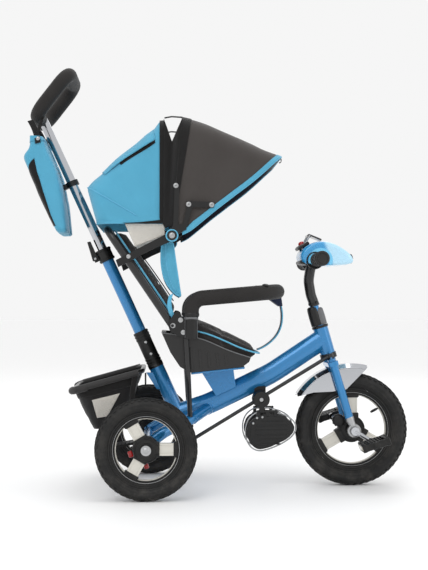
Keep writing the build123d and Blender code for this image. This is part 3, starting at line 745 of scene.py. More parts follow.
def rivets(name: str, places: Iterable[Point], radius: float, body: str, side: int = -1, hollow: bool = True) -> Thing:
    """Washer-like rivet heads on one side.

    Args:
        name: the piece's name.
        places: middle of each head on the surface.
        radius: the washer's radius.
        body: body that it rides on.
        side: -1 for the right-hand side, 1 for the left.
        hollow: give the head a dark eye.

    Returns:
        The object.
    """
    eye = [(0, 0.1), (radius * 0.3, 0.1)] if hollow else [(0, radius * 0.42), (radius * 0.3, radius * 0.36)]
    section = eye + [(radius * r, radius * w) for r, w in ((0.38, 0.34), (0.7, 0.26), (0.78, 0.12), (1, 0.1))] + [(radius, -0.6), (0, -0.6)]
    heads = [lathe(section, spot, (0, side, 0), 24) for spot in places]
    return piece(name, join(*heads), STEEL, body)


def dress(finish: Finish, *nodes: str) -> None:
    """Give CAD nodes a finish."""
    for node in nodes:
        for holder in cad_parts[node].material_slots:
            holder.material = finish.material()


def loft(rings: Sequence[Sequence[Vector]]) -> Shape:
    """Closed skin over rings that have the same number of points."""
    shape = bmesh.new()
    loops = [loop_of(shape, ring) for ring in rings]
    for first, second in zip(loops, loops[1:]):
        bmesh.ops.bridge_loops(shape, edges=first + second)
    for ring in (loops[0], loops[-1]):
        bmesh.ops.contextual_create(shape, geom=ring)
    return shape


# ---- the studio ----------------------------------------------------------
@dataclass
class Studio:
    """Camera, plain floor and soft light."""

    eye: Point = (-0.1260, -2.8011, 0.4838)
    turn: Point = (91.03, 0.0, -2.53)
    lens: float = 66.28
    floor_size: float = 60.0

    def build(self) -> None:
        """Make the camera, the floor and the lights."""
        scene = bpy.context.scene
        scene.view_settings.view_transform = "Standard"
        camera = bpy.data.cameras.new("camera")
        camera.lens = self.lens
        camera.sensor_width = 36.0
        camera.clip_end = 200.0
        holder = bpy.data.objects.new("camera", camera)
        holder.location = self.eye
        holder.rotation_euler = [radians(a) for a in self.turn]
        scene.collection.objects.link(holder)
        scene.camera = holder
        self.sky()
        self.floor()
        self.lamp("key_light", (-1.4, -3.0, 3.4), 2.2, 34.0)
        self.lamp("fill_light", (3.0, -1.6, 1.6), 1.6, 10.0)
        self.lamp("back_light", (0.4, 2.8, 3.0), 2.0, 16.0)
        self.lamp("top_light", (0.0, -0.2, 3.6), 1.6, 16.0)

    def sky(self) -> None:
        """Even pale surroundings."""
        world = bpy.data.worlds.new("studio")
        bpy.context.scene.world = world
        world.use_nodes = True
        desk = Desk(world.node_tree)
        back = world.node_tree.nodes["Background"]
        seen = desk.add("Background", {"Color": (0.921, 0.921, 0.921, 1.0), "Strength": 1.0})
        back.inputs["Color"].default_value = (1.0, 1.0, 1.0, 1.0)
        back.inputs["Strength"].default_value = 0.98
        path = desk.add("LightPath")
        blend = desk.add("MixShader", {0: path.outputs["Is Camera Ray"], 1: back.outputs[0], 2: seen.outputs[0]})
        world.node_tree.links.new(blend.outputs[0], world.node_tree.nodes["World Output"].inputs["Surface"])

    def floor(self) -> None:
        """Pale floor."""
        shape = bmesh.new()
        bmesh.ops.create_grid(shape, x_segments=2, y_segments=2, size=self.floor_size / 2)
        mesh = bpy.data.meshes.new("floor")
        shape.to_mesh(mesh)
        shape.free()
        paper = bpy.data.materials.new("studio_floor")
        paper.use_nodes = True
        shader = paper.node_tree.nodes["Principled BSDF"]
        shader.inputs["Base Color"].default_value = (0.93, 0.93, 0.93, 1.0)
        shader.inputs["Roughness"].default_value = 0.6
        shader.inputs["Specular IOR Level"].default_value = 0.2
        mesh.materials.append(paper)
        made = bpy.data.objects.new("floor", mesh)
        bpy.context.scene.collection.objects.link(made)

    def lamp(self, name: str, place: Point, size: float, power: float) -> None:
        """Soft square lamp that looks at the tricycle's middle."""
        light = bpy.data.lights.new(name, "AREA")
        light.size = size
        light.energy = power
        made = bpy.data.objects.new(name, light)
        made.location = place
        made.rotation_euler = (Vector((0, 0, 0.5)) - Vector(place)).to_track_quat("-Z", "Y").to_euler()
        bpy.context.scene.collection.objects.link(made)


# ---- wheels --------------------------------------------------------------
@dataclass
class Wheel:
    """Air-tyred wheel with three wide spokes."""

    name: str
    body: str
    middle: Point
    outer: float
    bead: float
    well: float
    half: float
    hub: float
    spoke: float
    first: float
    hub_in: float
    hub_out: float
    bore: float
    blocks: int = 46
    clasp: float = 2.0

    def build(self) -> None:
        """Make the tyre, tread, rim, spokes and hub."""
        self.tyre()
        self.rim()
        self.spokes()
        self.hub_piece()

    def tyre(self) -> None:
        """Tyre with ridged walls, and its tread blocks."""
        top = self.outer - 2.4
        depth = top - self.bead
        wall = [(0.0, 0.78), (0.08, 0.84), (0.13, 0.9), (0.16, 0.865), (0.2, 0.9), (0.3, 0.95), (0.34, 0.985), (0.37, 0.955), (0.42, 0.975),
                (0.55, 0.985), (0.6, 1.0), (0.63, 0.97), (0.72, 0.93), (0.82, 0.83), (0.9, 0.68), (0.96, 0.48), (0.99, 0.25), (1.0, 0.0)]
        right = [(self.bead + f * depth, -w * self.half) for f, w in wall]
        left = [(r, -w) for r, w in right[-2::-1]]
        x, y, z = self.middle
        piece(f"{self.name}_air_tyre", lathe(right + left, self.middle, closed=True, steps=96), RUBBER, self.body, [f"{self.name}_tyre"], 50)
        pitch = 2 * pi * self.outer / self.blocks
        h = self.half
        knobs = [block((x, y, z + top + 0.3), (pitch * 0.6, h * 0.36, 3.6), 0.5, segments=1)]
        for s in SIDES:
            knobs.append(block((x + pitch / 2, y + s * h * 0.38, z + top - 0.6), (pitch * 0.62, h * 0.27, 3.6), 0.5, segments=1))
            shoulder = block((0, 0, 0), (pitch * 0.5, h * 0.3, 3.6), 0.5, segments=1)
            lean = Matrix.Rotation(-s * radians(40), 4, "X") @ Matrix.Translation(-at(0, 0, 0))
            lean = Matrix.Translation(at(x, y + s * h * 0.72, z + top - 3.4)) @ lean
            bmesh.ops.transform(shoulder, matrix=lean, verts=shoulder.verts)
            knobs.append(shoulder)
        piece(f"{self.name}_tread", around(join(*knobs), self.middle, self.blocks), RUBBER, self.body)

    def rim(self) -> None:
        """Black rim with stepped faces, and its bright inner sleeve."""
        b, w = self.bead - 0.3, self.well
        right = [(b, -0.86), (b - 3, -0.86), (b - 5, -0.74), (b - 8, -0.72), (b - 9.5, -0.64), (w + 5, -0.6), (w + 3.6, -0.52), (w + 1.8, -0.52)]
        section = [(r, k * self.half) for r, k in right]
        section += [(r, -k) for r, k in section[::-1]]
        piece(f"{self.name}_rim_ring", lathe(section, self.middle, closed=True, steps=96), HUB_BLACK, self.body, [f"{self.name}_rim"], 30)
        e = self.half * 0.24
        sleeve = [(w + 1.7, -e), (w + 0.2, -e), (w - 0.6, -e + 0.8), (w - 0.4, 0), (w - 0.6, e - 0.8), (w + 0.2, e), (w + 1.7, e)]
        piece(f"{self.name}_rim_sleeve", lathe(sleeve, self.middle, closed=True, steps=96), SPOKE, self.body, (), 30)
        lines = []
        for k in (-self.half * 0.615, self.half * 0.615):
            line = [(w + 6.2, k - 0.5), (w + 6.9, k - 0.7), (w + 6.9, k + 0.7), (w + 6.2, k + 0.5)]
            lines.append(lathe(line, self.middle, closed=True, steps=96))
        piece(f"{self.name}_rim_line", join(*lines), STEEL, self.body, (), 30)

    def placed(self, shape: Shape) -> Shape:
        """Turn a shape to the first spoke's angle and repeat it for all three."""
        spot = at(*self.middle)
        turn = Matrix.Translation(spot) @ Matrix.Rotation(radians(-self.first), 4, "Y") @ Matrix.Translation(-spot)
        bmesh.ops.transform(shape, matrix=turn, verts=shape.verts)
        return around(shape, self.middle, 3)

    def spokes(self) -> None:
        """Grooved spokes with black sockets at the rim."""
        x, y, z = self.middle
        reach0, reach1 = self.hub - 6, self.well - 1
        length = reach1 - reach0
        mid = x + (reach0 + reach1) / 2
        bars = [block((mid, y, z), (length, 15.2, self.spoke * 0.58), 0.8)]
        for s in SIDES:
            bars.append(block((mid, y, z + s * self.spoke * 0.4), (length, 14.4, self.spoke * 0.19), 0.8))
            bars.append(block((mid, y, z + s * self.spoke * 0.295), (length, 13.4, 2.0), 0.3, segments=1))
        piece(f"{self.name}_spokes", self.placed(join(*bars)), SPOKE, self.body, [f"{self.name}_hub"])
        sockets = block((x + self.well - 2.2, y, z), (8.6, 20, self.spoke + 7), 1.6)
        lip = block((x + self.well - 6.2, y, z), (3, 17.6, self.spoke + 2.4), 0.8)
        piece(f"{self.name}_spoke_sockets", self.placed(join(sockets, lip)), HUB_BLACK, self.body)

    def hub_piece(self) -> None:
        """Moulded hub with three clasps, a dished face and small screws."""
        x, y, z = self.middle
        h = self.hub
        section = [(self.bore, self.hub_in), (16.5, self.hub_in), (17, self.hub_in + 1), (17, -14), (22, -12.6), (h - 8, -12.4),
                   (h - 7, -11), (h - 4, -11), (h - 3, -12), (h - 1, -11.4), (h, -9), (h, 9), (h - 1, 11.4), (h - 3, 12),
                   (h - 4, 11), (h - 7, 11), (h - 8, 12.4), (22, 12.6), (17, 14),
                   (17, self.hub_out - 1), (16.5, self.hub_out), (self.bore, self.hub_out)]
        clasp = block((x + h - 5 + self.clasp / 2, y, z), (self.clasp + 6, 22.4, self.spoke + 5.6), 2.4)
        inner = block((x + h - 7, y, z), (8, 25.6, self.spoke * 0.62), 1.4)
        piece(f"{self.name}_hub_shell", join(lathe(section, self.middle, closed=True), self.placed(join(clasp, inner))), HUB_BLACK, self.body)
        screws = []
        for index in range(3):
            angle = radians(self.first + 60 + 120 * index)
            for s in SIDES:
                spot = (x + (h - 12) * cos(angle), y + s * 12.2, z + (h - 12) * sin(angle))
                screws.append(lathe([(0, 1.2), (1.6, 1.2), (3.2, 0.6), (3.6, -1), (0, -1)], spot, (0, s, 0), 16))
        piece(f"{self.name}_hub_screws", join(*screws), HUB_BLACK, self.body)


@dataclass
class FrontWheelExtras:
    """Valve and drive knob of the front wheel, its crank and pedals."""

    middle: Point = (543.5, 0.0, 150.0)
    reach: float = 47.0
    angle: float = -32.0
    tilt: float = 17.0

    def build(self) -> None:
        """Make the valve and the knob, finish the crank in chrome and make both pedals."""
        x, _, z = self.middle
        stem = [(0, -14), (2.6, -14), (2.6, 8), (3.6, 9), (3.6, 22), (2.8, 24), (2.8, 27), (0, 27.5)]
        foot = (x + 77, 0.0, z + 56)
        piece("valve_stem", lathe(stem, foot, (-0.88, 0, -0.47), 20), HUB_BLACK, "front_wheel")
        knob = [(0, 12), (10, 12), (14, 10.6), (16, 7.6), (16.4, 0), (14, -12), (0, -12)]
        teeth = [block((x - 38 + 16 * cos(a), -27, z + 25 + 16 * sin(a)), (3, 10, 3), 0.8) for a in [i * pi / 6 for i in range(12)]]
        piece("drive_knob", join(lathe(knob, (x - 38, -24, z + 25), (0, -1, 0), 40), *teeth), HUB_BLACK, "front_wheel")
        dress(CHROME, "crank")
        for side, name in NAMED_SIDES:
            self.pedal(side, name)

    def pedal(self, side: int, name: str) -> None:
        """Pedal with a ribbed tread, a bearing barrel and pale reflectors."""
        lean = radians(self.angle)
        x = self.middle[0] - side * self.reach * cos(lean)
        z = self.middle[2] - side * self.reach * sin(lean)
        y = side * 120.0
        body = f"pedal_{name[0]}"
        spot = at(x, y, z)
        turn = Matrix.Translation(spot) @ Matrix.Rotation(radians(-self.tilt), 4, "Y") @ Matrix.Translation(-spot)
        parts = [block((x, y, z), (40, 70, 14), 3), block((x - 31, y, z), (11, 74, 20), 3), block((x + 31, y, z), (11, 74, 20), 3),
                 block((x, y - 32, z), (66, 8, 18), 3), block((x, y + 32, z), (66, 8, 18), 3)]
        for index in range(7):
            ahead = -24 + 8 * index
            parts += [block((x + ahead, y, z + s * 8.4), (2.6, 58, 4), 1, segments=1) for s in SIDES]
        for index in range(4):
            parts += [block((x + e * 33, y - 24 + 16 * index, z + s * 10.4), (6, 7, 2), 0.8, segments=1) for s in SIDES for e in SIDES]
        parts.append(lathe([(0, 2), (6, 1.8), (8.4, 0.6), (8.4, -3), (0, -3)], (x, side * 159.4, z), (0, side, 0), 24))
        whole = join(*parts)
        bmesh.ops.transform(whole, matrix=turn, verts=whole.verts)
        piece(f"pedal_{name}_block", whole, HUB_BLACK, body, [f"pedal_{name}"])
        glass = [block((x + e * 36.2, y, z), (2.4, 50, 12), 0.8) for e in SIDES]
        lamps = join(*glass)
        bmesh.ops.transform(lamps, matrix=turn, verts=lamps.verts)
        piece(f"pedal_{name}_reflectors", lamps, PALE, body)


# ---- painted frame, fork and steering --------------------------------------
@dataclass
class PaintedFrame:
    """The blue frame and its fixings."""

    def build(self) -> None:
        """Dress the tubes and add their fixings."""
        dress(PAINT, "main_tube", "head_tube", "rear_yoke", "pole_socket", "seat_bracket")
        dress(BLACK_PAINT, "seat_struts", "brake_hangers", "basket_rim")
        dress(PLASTIC, "headset_cups", "rod_guide", "brake_pedal")
        dress(STEEL, "rear_axle")
        self.axle_caps()
        self.fixings()

    def axle_caps(self) -> None:
        """Domed silver caps on the axle's ends."""
        dome = [(0, 9.6), (3.4, 9.4), (6.4, 8.2), (9.2, 5.4), (10.6, 4.6), (12.4, 3.4), (12.4, 0), (0, 0)]
        caps = [lathe(dome, (0, s * 237.5, 127), (0, s, 0), 40) for s in SIDES]
        piece("axle_caps", join(*caps), STEEL, "frame")

    def fixings(self) -> None:
        """Stay sleeves, seat ledge, weld beads, collar and washers."""
        for s, word in NAMED_SIDES:
            run = Vector((-40, s * 60, -20))
            sleeve = [(14.2, -6), (17.4, -5.4), (18, -4), (18, -1), (16.4, 0.4), (15.8, 4), (15.6, run.length), (14.2, run.length + 1)]
            piece(f"stay_sleeve_{word}", lathe(sleeve, (156, s * 12, 206), tuple(run), 48, closed=True), PAINT, "frame")
        ledge = plate([(113, 304.0), (249, 318.2), (249, 323.2), (113, 309.0)], -129, 129, 1.0)
        piece("seat_ledge", ledge, PAINT, "frame")
        bead = [lathe([(13.8, 0), (15.4, 2), (14.8, 4), (13.8, 5)], (3, s * 168.6, 131.0), (-0.15, s * 0.7, -0.7), 32) for s in SIDES]
        piece("yoke_weld_beads", join(*bead), PAINT, "frame")
        collar = [(16.3, 112), (19.9, 112), (20.6, 114), (20.6, 119), (19.6, 121), (16.3, 121)]
        lean = radians(24.7)
        ring = lathe(collar, (69.8, 0, 214.7), (-sin(lean), 0, cos(lean)), 48, closed=True)
        piece("socket_collar", ring, BLACK_PAINT, "frame")
        flange = [block((x, y, 323.6 + (x - 113) * 0.1045 - 13.4), (15, 15, 3), 1) for x in (128, 232) for y in (-38, 38)]
        piece("seat_flange_washers", join(*flange), STEEL, "frame")


@dataclass
class Steering:
    """Fork, mudguard, stem, bar and grips."""

    tilt: float = 16.1
    foot: Flat = (483.0, 346.0)
    bar: Flat = (440.0, 598.0)

    def axis(self) -> Point:
        """Direction of the steering axis."""
        return (-sin(radians(self.tilt)), 0.0, cos(radians(self.tilt)))

    def build(self) -> None:
        """Dress the fork and build what sits on it."""
        dress(PAINT, "fork_frame")
        dress(CHROME, "mudguard")
        dress(BLACK_PAINT, "handlebar", "steering_rod")
        self.dropouts()
        self.stem_cover()
        stem = [(447, 0, 478), (436, 0, 508), (430, 0, 545), (434, 0, 572), (439, 0, 592)]
        piece("stem_sleeve", tubes(swept(stem, 60, 13.8)), BLACK_PAINT, "fork")
        self.grips()
        self.guard_trim()

    def dropouts(self) -> None:
        """Bright flattened fork ends with their axle washers."""
        parts = []
        for s in SIDES:
            run = Vector((10.5, s * 3.4, -27))
            sleeve = [(0, -3), (11.4, -3), (11.7, 0), (11.2, 4), (9.4, 14), (8.6, run.length), (0, run.length)]
            parts.append(lathe(sleeve, (532.4, s * 45.2, 181), tuple(run), 32))
            disc = [(7.3, 55.8), (11, 55.8), (11.6, 57.4), (13, 57.4), (13.6, 55.6), (17, 55.2), (18, 53.8), (18, 43.2), (17, 41.8), (7.3, 41.8)]
            parts.append(lathe(disc, (543.5, 0, 150), (0, s, 0), 48, closed=True))
        piece("fork_ends", join(*parts), STEEL, "fork")

    def stem_cover(self) -> None:
        """Two-lobed moulding over the stem's foot."""
        # The front lobe is the same black plastic, painted light grey as a painted highlight.
        for word, ahead, radius, tall, finish in (("rear", -6.5, 15.2, 54, PLASTIC), ("front", 8.5, 12.4, 47, PLASTIC_HIGHLIGHT)):
            x, _, z = leaning(self.tilt, self.foot, 83.6, ahead)
            section = [(0, tall), (radius * 0.7, tall - 0.6), (radius * 0.93, tall - 4), (radius, tall - 10),
                       (radius * 1.04, tall * 0.5), (radius * 1.02, 6), (radius, 1), (0, 0)]
            stood_for = ["stem_cover"] if word == "rear" else []
            piece(f"stem_cover_{word}", lathe(section, (x, 0, z), self.axis(), 40), finish, "fork", stood_for)
        x, _, z = leaning(self.tilt, self.foot, 146)
        screw = lathe([(0, 17), (3, 17), (4, 15.6), (4, 8), (0, 8)], (x, 0, z), (0.5, -0.85, 0.1), 16)
        ring = lathe([(11.2, 0), (13.6, 0.6), (13.8, 6), (12.6, 8), (11.2, 8)], (x + 1.4, 0, z - 5), self.axis(), 40, closed=True)
        piece("stem_clamp", join(screw, ring), PLASTIC, "fork")

    def grips(self) -> None:
        """Ribbed grips with flared, dished ends."""
        section: list[Flat] = [(11.2, 97), (17, 97), (18.2, 98.4), (18.2, 101.6), (16.4, 103)]
        for index in range(9):
            start = 106 + 7.6 * index
            section += [(15.9, start), (16.9, start + 1.4), (16.9, start + 4.6), (15.9, start + 6)]
        section += [(16.6, 176), (18.6, 178.4), (19.2, 183), (19, 187), (17.4, 189.4), (14, 189.6), (12, 187.4), (9.4, 186.2), (0, 186)]
        both = [lathe(section, (self.bar[0], 0, self.bar[1]), (0, s, 0), 48) for s in SIDES]
        piece("ribbed_grips", join(*both), GRIP, "fork", ["grips"], 30)

    def guard_trim(self) -> None:
        """Rolled bead along both sides of the mudguard."""
        x, z = 543.5, 150.0
        lips = []
        for s in SIDES:
            rim = [(x + 164 * cos(radians(a)), s * 30.2, z + 164 * sin(radians(a))) for a in range(78, 147, 4)]
            lips.append(tubes(soft_line(rim, 1.1)))
        piece("mudguard_beads", join(*lips), CHROME, "fork")


@dataclass
class Console:
    """Moulded play console, its panel, lamp and mirror."""

    outline: tuple[Flat, ...] = (
        (402, 598), (401, 622), (424, 643), (456, 652), (492, 645), (520, 629), (540, 612), (545, 600), (543, 589), (505, 585), (455, 584), (416, 587))
    heart: Flat = (470.0, 612.0)
    half: float = 57.0
    bar: Flat = (440.0, 598.0)

    def build(self) -> None:
        """Make the shell and everything set into it."""
        self.shell()
        self.fittings()
        self.mirror()

    def shell(self) -> None:
        """Smooth drop-shaped shell with rounded cheeks."""
        rings = []
        for y, size in ((-57, 0.72), (-56.6, 0.84), (-54.6, 0.92), (-50, 0.97), (-42, 0.995), (-20, 1.0), (0, 1.004)):
            flat = [(self.heart[0] + (x - self.heart[0]) * size, y, self.heart[1] + (z - self.heart[1]) * size) for x, z in self.outline]
            rings.append(line_points(flat, closed=True))
        rings += [[Vector((p.x, -p.y, p.z)) for p in ring] for ring in rings[-2::-1]]
        piece("console_case", loft(rings), CONSOLE, "fork", ["console_shell"], 60)
        cup = [(14, 50), (22, 50.5), (23.4, 54), (23, 58.4), (21, 59.4), (19.6, 58.6), (18.8, 54), (14, 53)]
        cups = [lathe(cup, (self.bar[0], 0, self.bar[1]), (0, s, 0), 48, closed=True) for s in SIDES]
        piece("console_bar_cups", join(*cups), PLASTIC, "fork")
        base = plate([(402, 590), (402, 599), (436, 597), (500, 592), (500, 586), (436, 586)], -46, 46, 2.0, 3.0)
        piece("console_base_lip", base, PLASTIC, "fork")

    def fittings(self) -> None:
        """Sloped panel, button, lamps and their rings."""
        slope = 31.0
        panel = block((413, 0, 638), (34, 66, 9), 3.0, slope)
        inset = block((411.6, 0, 641.4), (27, 56, 4.4), 1.4, slope)
        piece("console_top_panel", join(panel, inset), PLASTIC, "fork", ["console_panel"])
        lean = radians(slope)
        dome = [(0, 7.6), (4, 7), (7, 5), (8.4, 2), (8.6, 0), (8.6, -3), (0, -3)]
        piece("horn_dome", lathe(dome, (410.8, 0, 643.6), (-sin(lean), 0, cos(lean)), 36), RED, "button", ["horn_button"])
        lamps, rings = [], []
        for side in SIDES:
            spot, out = (536, side * 43, 603), (0.8, side * 0.6, 0.04)
            lamps.append(lathe([(0, 3.4), (4.4, 3.0), (8.4, 1.6), (10.4, 0), (10.4, -6), (0, -6)], spot, out, 10))
            rings.append(lathe([(10.2, 1), (12.2, 1.6), (13, 0), (13, -9), (10.2, -9)], spot, out, 40, closed=True))
        piece("faceted_lamps", join(*lamps), LENS, "fork", ["headlight"], 10)
        piece("lamp_bezels", join(*rings), PLASTIC, "fork")

    def mirror(self) -> None:
        """Dark mirror plate on two thin silver stalks."""
        rods = [tubes(swept([(409, s * 27, 628), (429, s * 27, 664), (429, s * 27, 665)], 1, 2.5)) for s in SIDES]
        pin = lathe([(0, -28.5), (2.5, -28.5), (2.5, 28.5), (0, 28.5)], (429, 0, 665), (0, 1, 0), 20)
        piece("mirror_stalks", join(pin, *rods), STEEL, "fork")
        dress(GLOSS_BLACK, "console_mirror")
        face = block((447.3, 0, 662.9), (31, 42, 1.2), 0.5, -22)
        piece("mirror_face", face, CHROME, "mirror")


# ---- seat, bumper and back -------------------------------------------------
def plumped(name: str, shape: Shape, finish: Finish, body: str, replaces: Iterable[str],
            seams: Callable[[Vector], float], voxel: float = 5.0, cap: float = 9.0) -> Thing:
    """Blow a closed shape up into a padded piece with cloth pressure.

    Args:
        name: the piece's name.
        shape: the slack shape, a little smaller than the pad.
        finish: its cloth.
        body: the body it rides on.
        replaces: nodes it stands for.
        seams: depth in metres of the sewn channels at a point.
        voxel: remesh size in millimetres.
        cap: farthest a point may swell, in millimetres.

    Returns:
        The pad.
    """
    scene = bpy.context.scene
    bmesh.ops.recalc_face_normals(shape, faces=shape.faces)
    mesh = bpy.data.meshes.new(name)
    shape.to_mesh(mesh)
    shape.free()
    holder = bpy.data.objects.new(name, mesh)
    scene.collection.objects.link(holder)
    grid = holder.modifiers.new("remesh", "REMESH")
    grid.mode = "VOXEL"
    grid.voxel_size = voxel * MM
    slack = applied(holder)
    holder.modifiers.clear()
    holder.data = slack
    start = [v.co.copy() for v in slack.vertices]
    swelling = holder.modifiers.new("cloth", "CLOTH")
    swelling.settings.use_pressure = True
    swelling.settings.uniform_pressure_force = 4.0
    swelling.settings.quality = 6
    swelling.settings.effector_weights.gravity = 0.0
    swelling.point_cache.frame_start = 1
    swelling.point_cache.frame_end = 20
    for step in range(1, 21):
        scene.frame_set(step)
    blown = applied(holder)
    holder.modifiers.clear()
    holder.data = blown
    scene.frame_set(1)
    normals = [v.normal.copy() for v in holder.data.vertices]
    for vert, rest, normal in zip(holder.data.vertices, start, normals):
        shift = vert.co - rest
        if shift.length > cap * MM:
            shift = shift.normalized() * cap * MM
        vert.co = rest + shift - normal * seams(rest) + normal * ruffle(rest, 24.0, 0.9)
    done = holder.data
    bpy.data.objects.remove(holder)
    made = piece(name, done, finish, body, replaces, 180, tidy=False)
    smoother(made)
    return made


def applied(made: Thing) -> Mesh:
    """Mesh of an object with its modifiers applied."""
    graph = bpy.context.evaluated_depsgraph_get()
    return bpy.data.meshes.new_from_object(made.evaluated_get(graph), preserve_all_data_layers=False, depsgraph=graph)


def groove(offset: float, width: float, depth: float) -> float:
    """Depth in metres of a sewn channel at an offset in millimetres from its line."""
    return depth * MM * 2.718 ** (-((offset / width) ** 2))


def tubes(*meshes: Mesh) -> Shape:
    """One bmesh from several tube meshes, which are removed."""
    whole = bmesh.new()
    for mesh in meshes:
        whole.from_mesh(mesh)
        bpy.data.meshes.remove(mesh)
    return whole


@dataclass
class Seat:
    """Bucket, cushion, brackets and bumper."""

    half: float = 126.0
    bumper_y: float = 150.0

    def build(self) -> None:
        """Make every piece round the rider's seat."""
        self.bucket()
        self.cushion()
        self.brackets()
        self.bumper()
        self.crotch_strap()

    def bucket(self) -> None:
        """Rim line painted light grey as a painted highlight along the bucket's edge, and ribs on the moulded bucket.
        """
        dress(SEAT_SHELL, "seat_pan")
        rims = []
        for s in SIDES:
            side = [(x, s * 137.6, z) for x, z in ((84, 405), (130, 399), (170, 383), (199, 368), (235, 356))]
            rims.append(soft_line([(38, s * 137, 410), *side, (262, s * 135, 347.6)], 1.5))
        rims.append(soft_line([(262, -135, 347.6), (263.4, -120, 347.6), (263.4, 120, 347.6), (262, 135, 347.6)], 1.5))
        # Painted highlight: a thin light grey tube along the bucket's rim edge.
        piece("bucket_rim_line", tubes(*rims), PLASTIC_HIGHLIGHT, "frame", slot="seat_plastic")
        ribs = []
        for index in range(5):
            x = 112 + 22 * index
            z = 318 + 2.2 * index
            ribs.append(plate([(x, z), (x + 6, z), (x + 3, 372 - 5 * index), (x - 4, 374 - 5 * index)], 135.4, 137.8, 0.8, 1.2))
        piece("bucket_side_ribs", across(join(*ribs)), SEAT_SHELL, "frame")

    def cushion(self) -> None:
        """Seat cushion with sewn channels and piping along both sides."""
        outline = [(92, 354), (100, 339), (234, 341), (259, 349), (283, 355), (281, 366), (248, 382), (208, 402), (160, 424), (130, 436), (92, 438)]
        inset = self.half - 5
        shape = plate(outline, -inset, inset, 9, 7, 3)

        def seams(rest: Vector) -> float:
            """Two long channels and one across."""
            along = measured(rest)[0]
            return groove(abs(rest.y / MM) - 46, 4.5, 5.0) + groove(along - 196, 4.5, 4.0) * (rest.z > at(0, 0, 380).z)

        plumped("seat_cushion_pad", shape, PAD_CLOTH, "frame", ["seat_cushion"], seams, 5.0, 7.0)
        line = [(92, 127, 420), (132, 128, 414), (164, 128, 405), (210, 128, 384), (247, 127, 367), (280, 122, 358), (288, 100, 357)]
        edges = [soft_line([(x, s * y, z) for x, y, z in line], 2.2) for s in SIDES]
        edges.append(soft_line([(288, -104, 357), (290, -60, 357), (290, 60, 357), (288, 104, 357)], 2.2))
        piece("cushion_piping", tubes(*edges), SKY_SOLID, "frame")

    def brackets(self) -> None:
        """Hinge plates with rivets, and ribs on the bumper sockets."""
        dress(PLASTIC, "side_brackets")
        for side, word in NAMED_SIDES:
            rivets(f"bracket_rivets_{word}", [(85, side * 153, 443), (66, side * 153, 429), (92, side * 153, 412)], 6.2, "frame", side)
        turns = [radians(-90 + 26 * k) for k in range(-4, 5)]
        ribs = [block((112 + 15.6 * cos(a), 152 + 15.6 * sin(a), 420), (2.2, 2.2, 46), 0.7, segments=1) for a in turns]
        collar = lathe([(11.3, 24), (17, 24), (18.2, 26), (18.2, 30), (17, 32), (11.3, 32)], (112, 150, 420), (0, 0, 1), 40, closed=True)
        # Painted highlight: the collar and ribs are the black plastic painted light grey.
        piece("socket_ribs", across(join(collar, *ribs)), PLASTIC_HIGHLIGHT, "frame")

    def bumper(self) -> None:
        """Foam sleeve with its end cuffs and buttons."""
        dress(BLACK_PAINT, "bumper_tube")
        y = self.bumper_y
        route = [(112, -y, 453), (112, -y, 496), (341, -y, 516), (341, y, 516), (112, y, 496), (112, y, 453)]
        bends = [32, 112, 112, 32]
        sleeve = tubes(swept(route, bends, 19.6, sides=8))
        cuff = [(11.2, -1), (18.6, -1), (20.4, 1), (20.8, 6), (19.4, 9), (11.2, 9)]
        cuffs = [lathe(cuff, (112, s * y, 452), (0, 0, 1), 48, closed=True) for s in SIDES]
        piece("bumper_sleeve", sleeve, FOAM, "bumper_bar", ["bumper_foam"], 60)
        piece("bumper_cuffs", join(*cuffs), PLASTIC, "bumper_bar")
        button = [lathe([(0, 3.4), (5, 3), (8, 1.6), (8.6, -1), (0, -1)], (302, s * 132, 531.4), (0.02, s * 0.2, 1), 24) for s in SIDES]
        piece("bumper_buttons", join(*button), PLASTIC, "bumper_bar")

    def crotch_strap(self) -> None:
        """Webbing from the bumper's underside to the cushion's front, with blue edges."""
        line = [(346, 0, 502), (356, 0, 480), (360, 0, 442), (350, 0, 408), (328, 0, 381), (304, 0, 366), (291, 0, 362)]
        band = cloth("crotch_webbing", strap(line, 34), NAVY, None, 2.4, ["crotch_strap"])
        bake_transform(band)
        for s, word in NAMED_SIDES:
            rim = tubes(soft_line([(x + 0.6, s * 17, z) for x, _, z in line], 1.7))
            edge = piece(f"crotch_edging_{word}", rim, SKY_SOLID, None)
            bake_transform(edge)
        tab = plate([(316, 501), (354, 506), (358, 478), (349, 477)], -22, 22, 1.4, 2)
        piece("strap_tab", tab, NAVY, "bumper_bar")


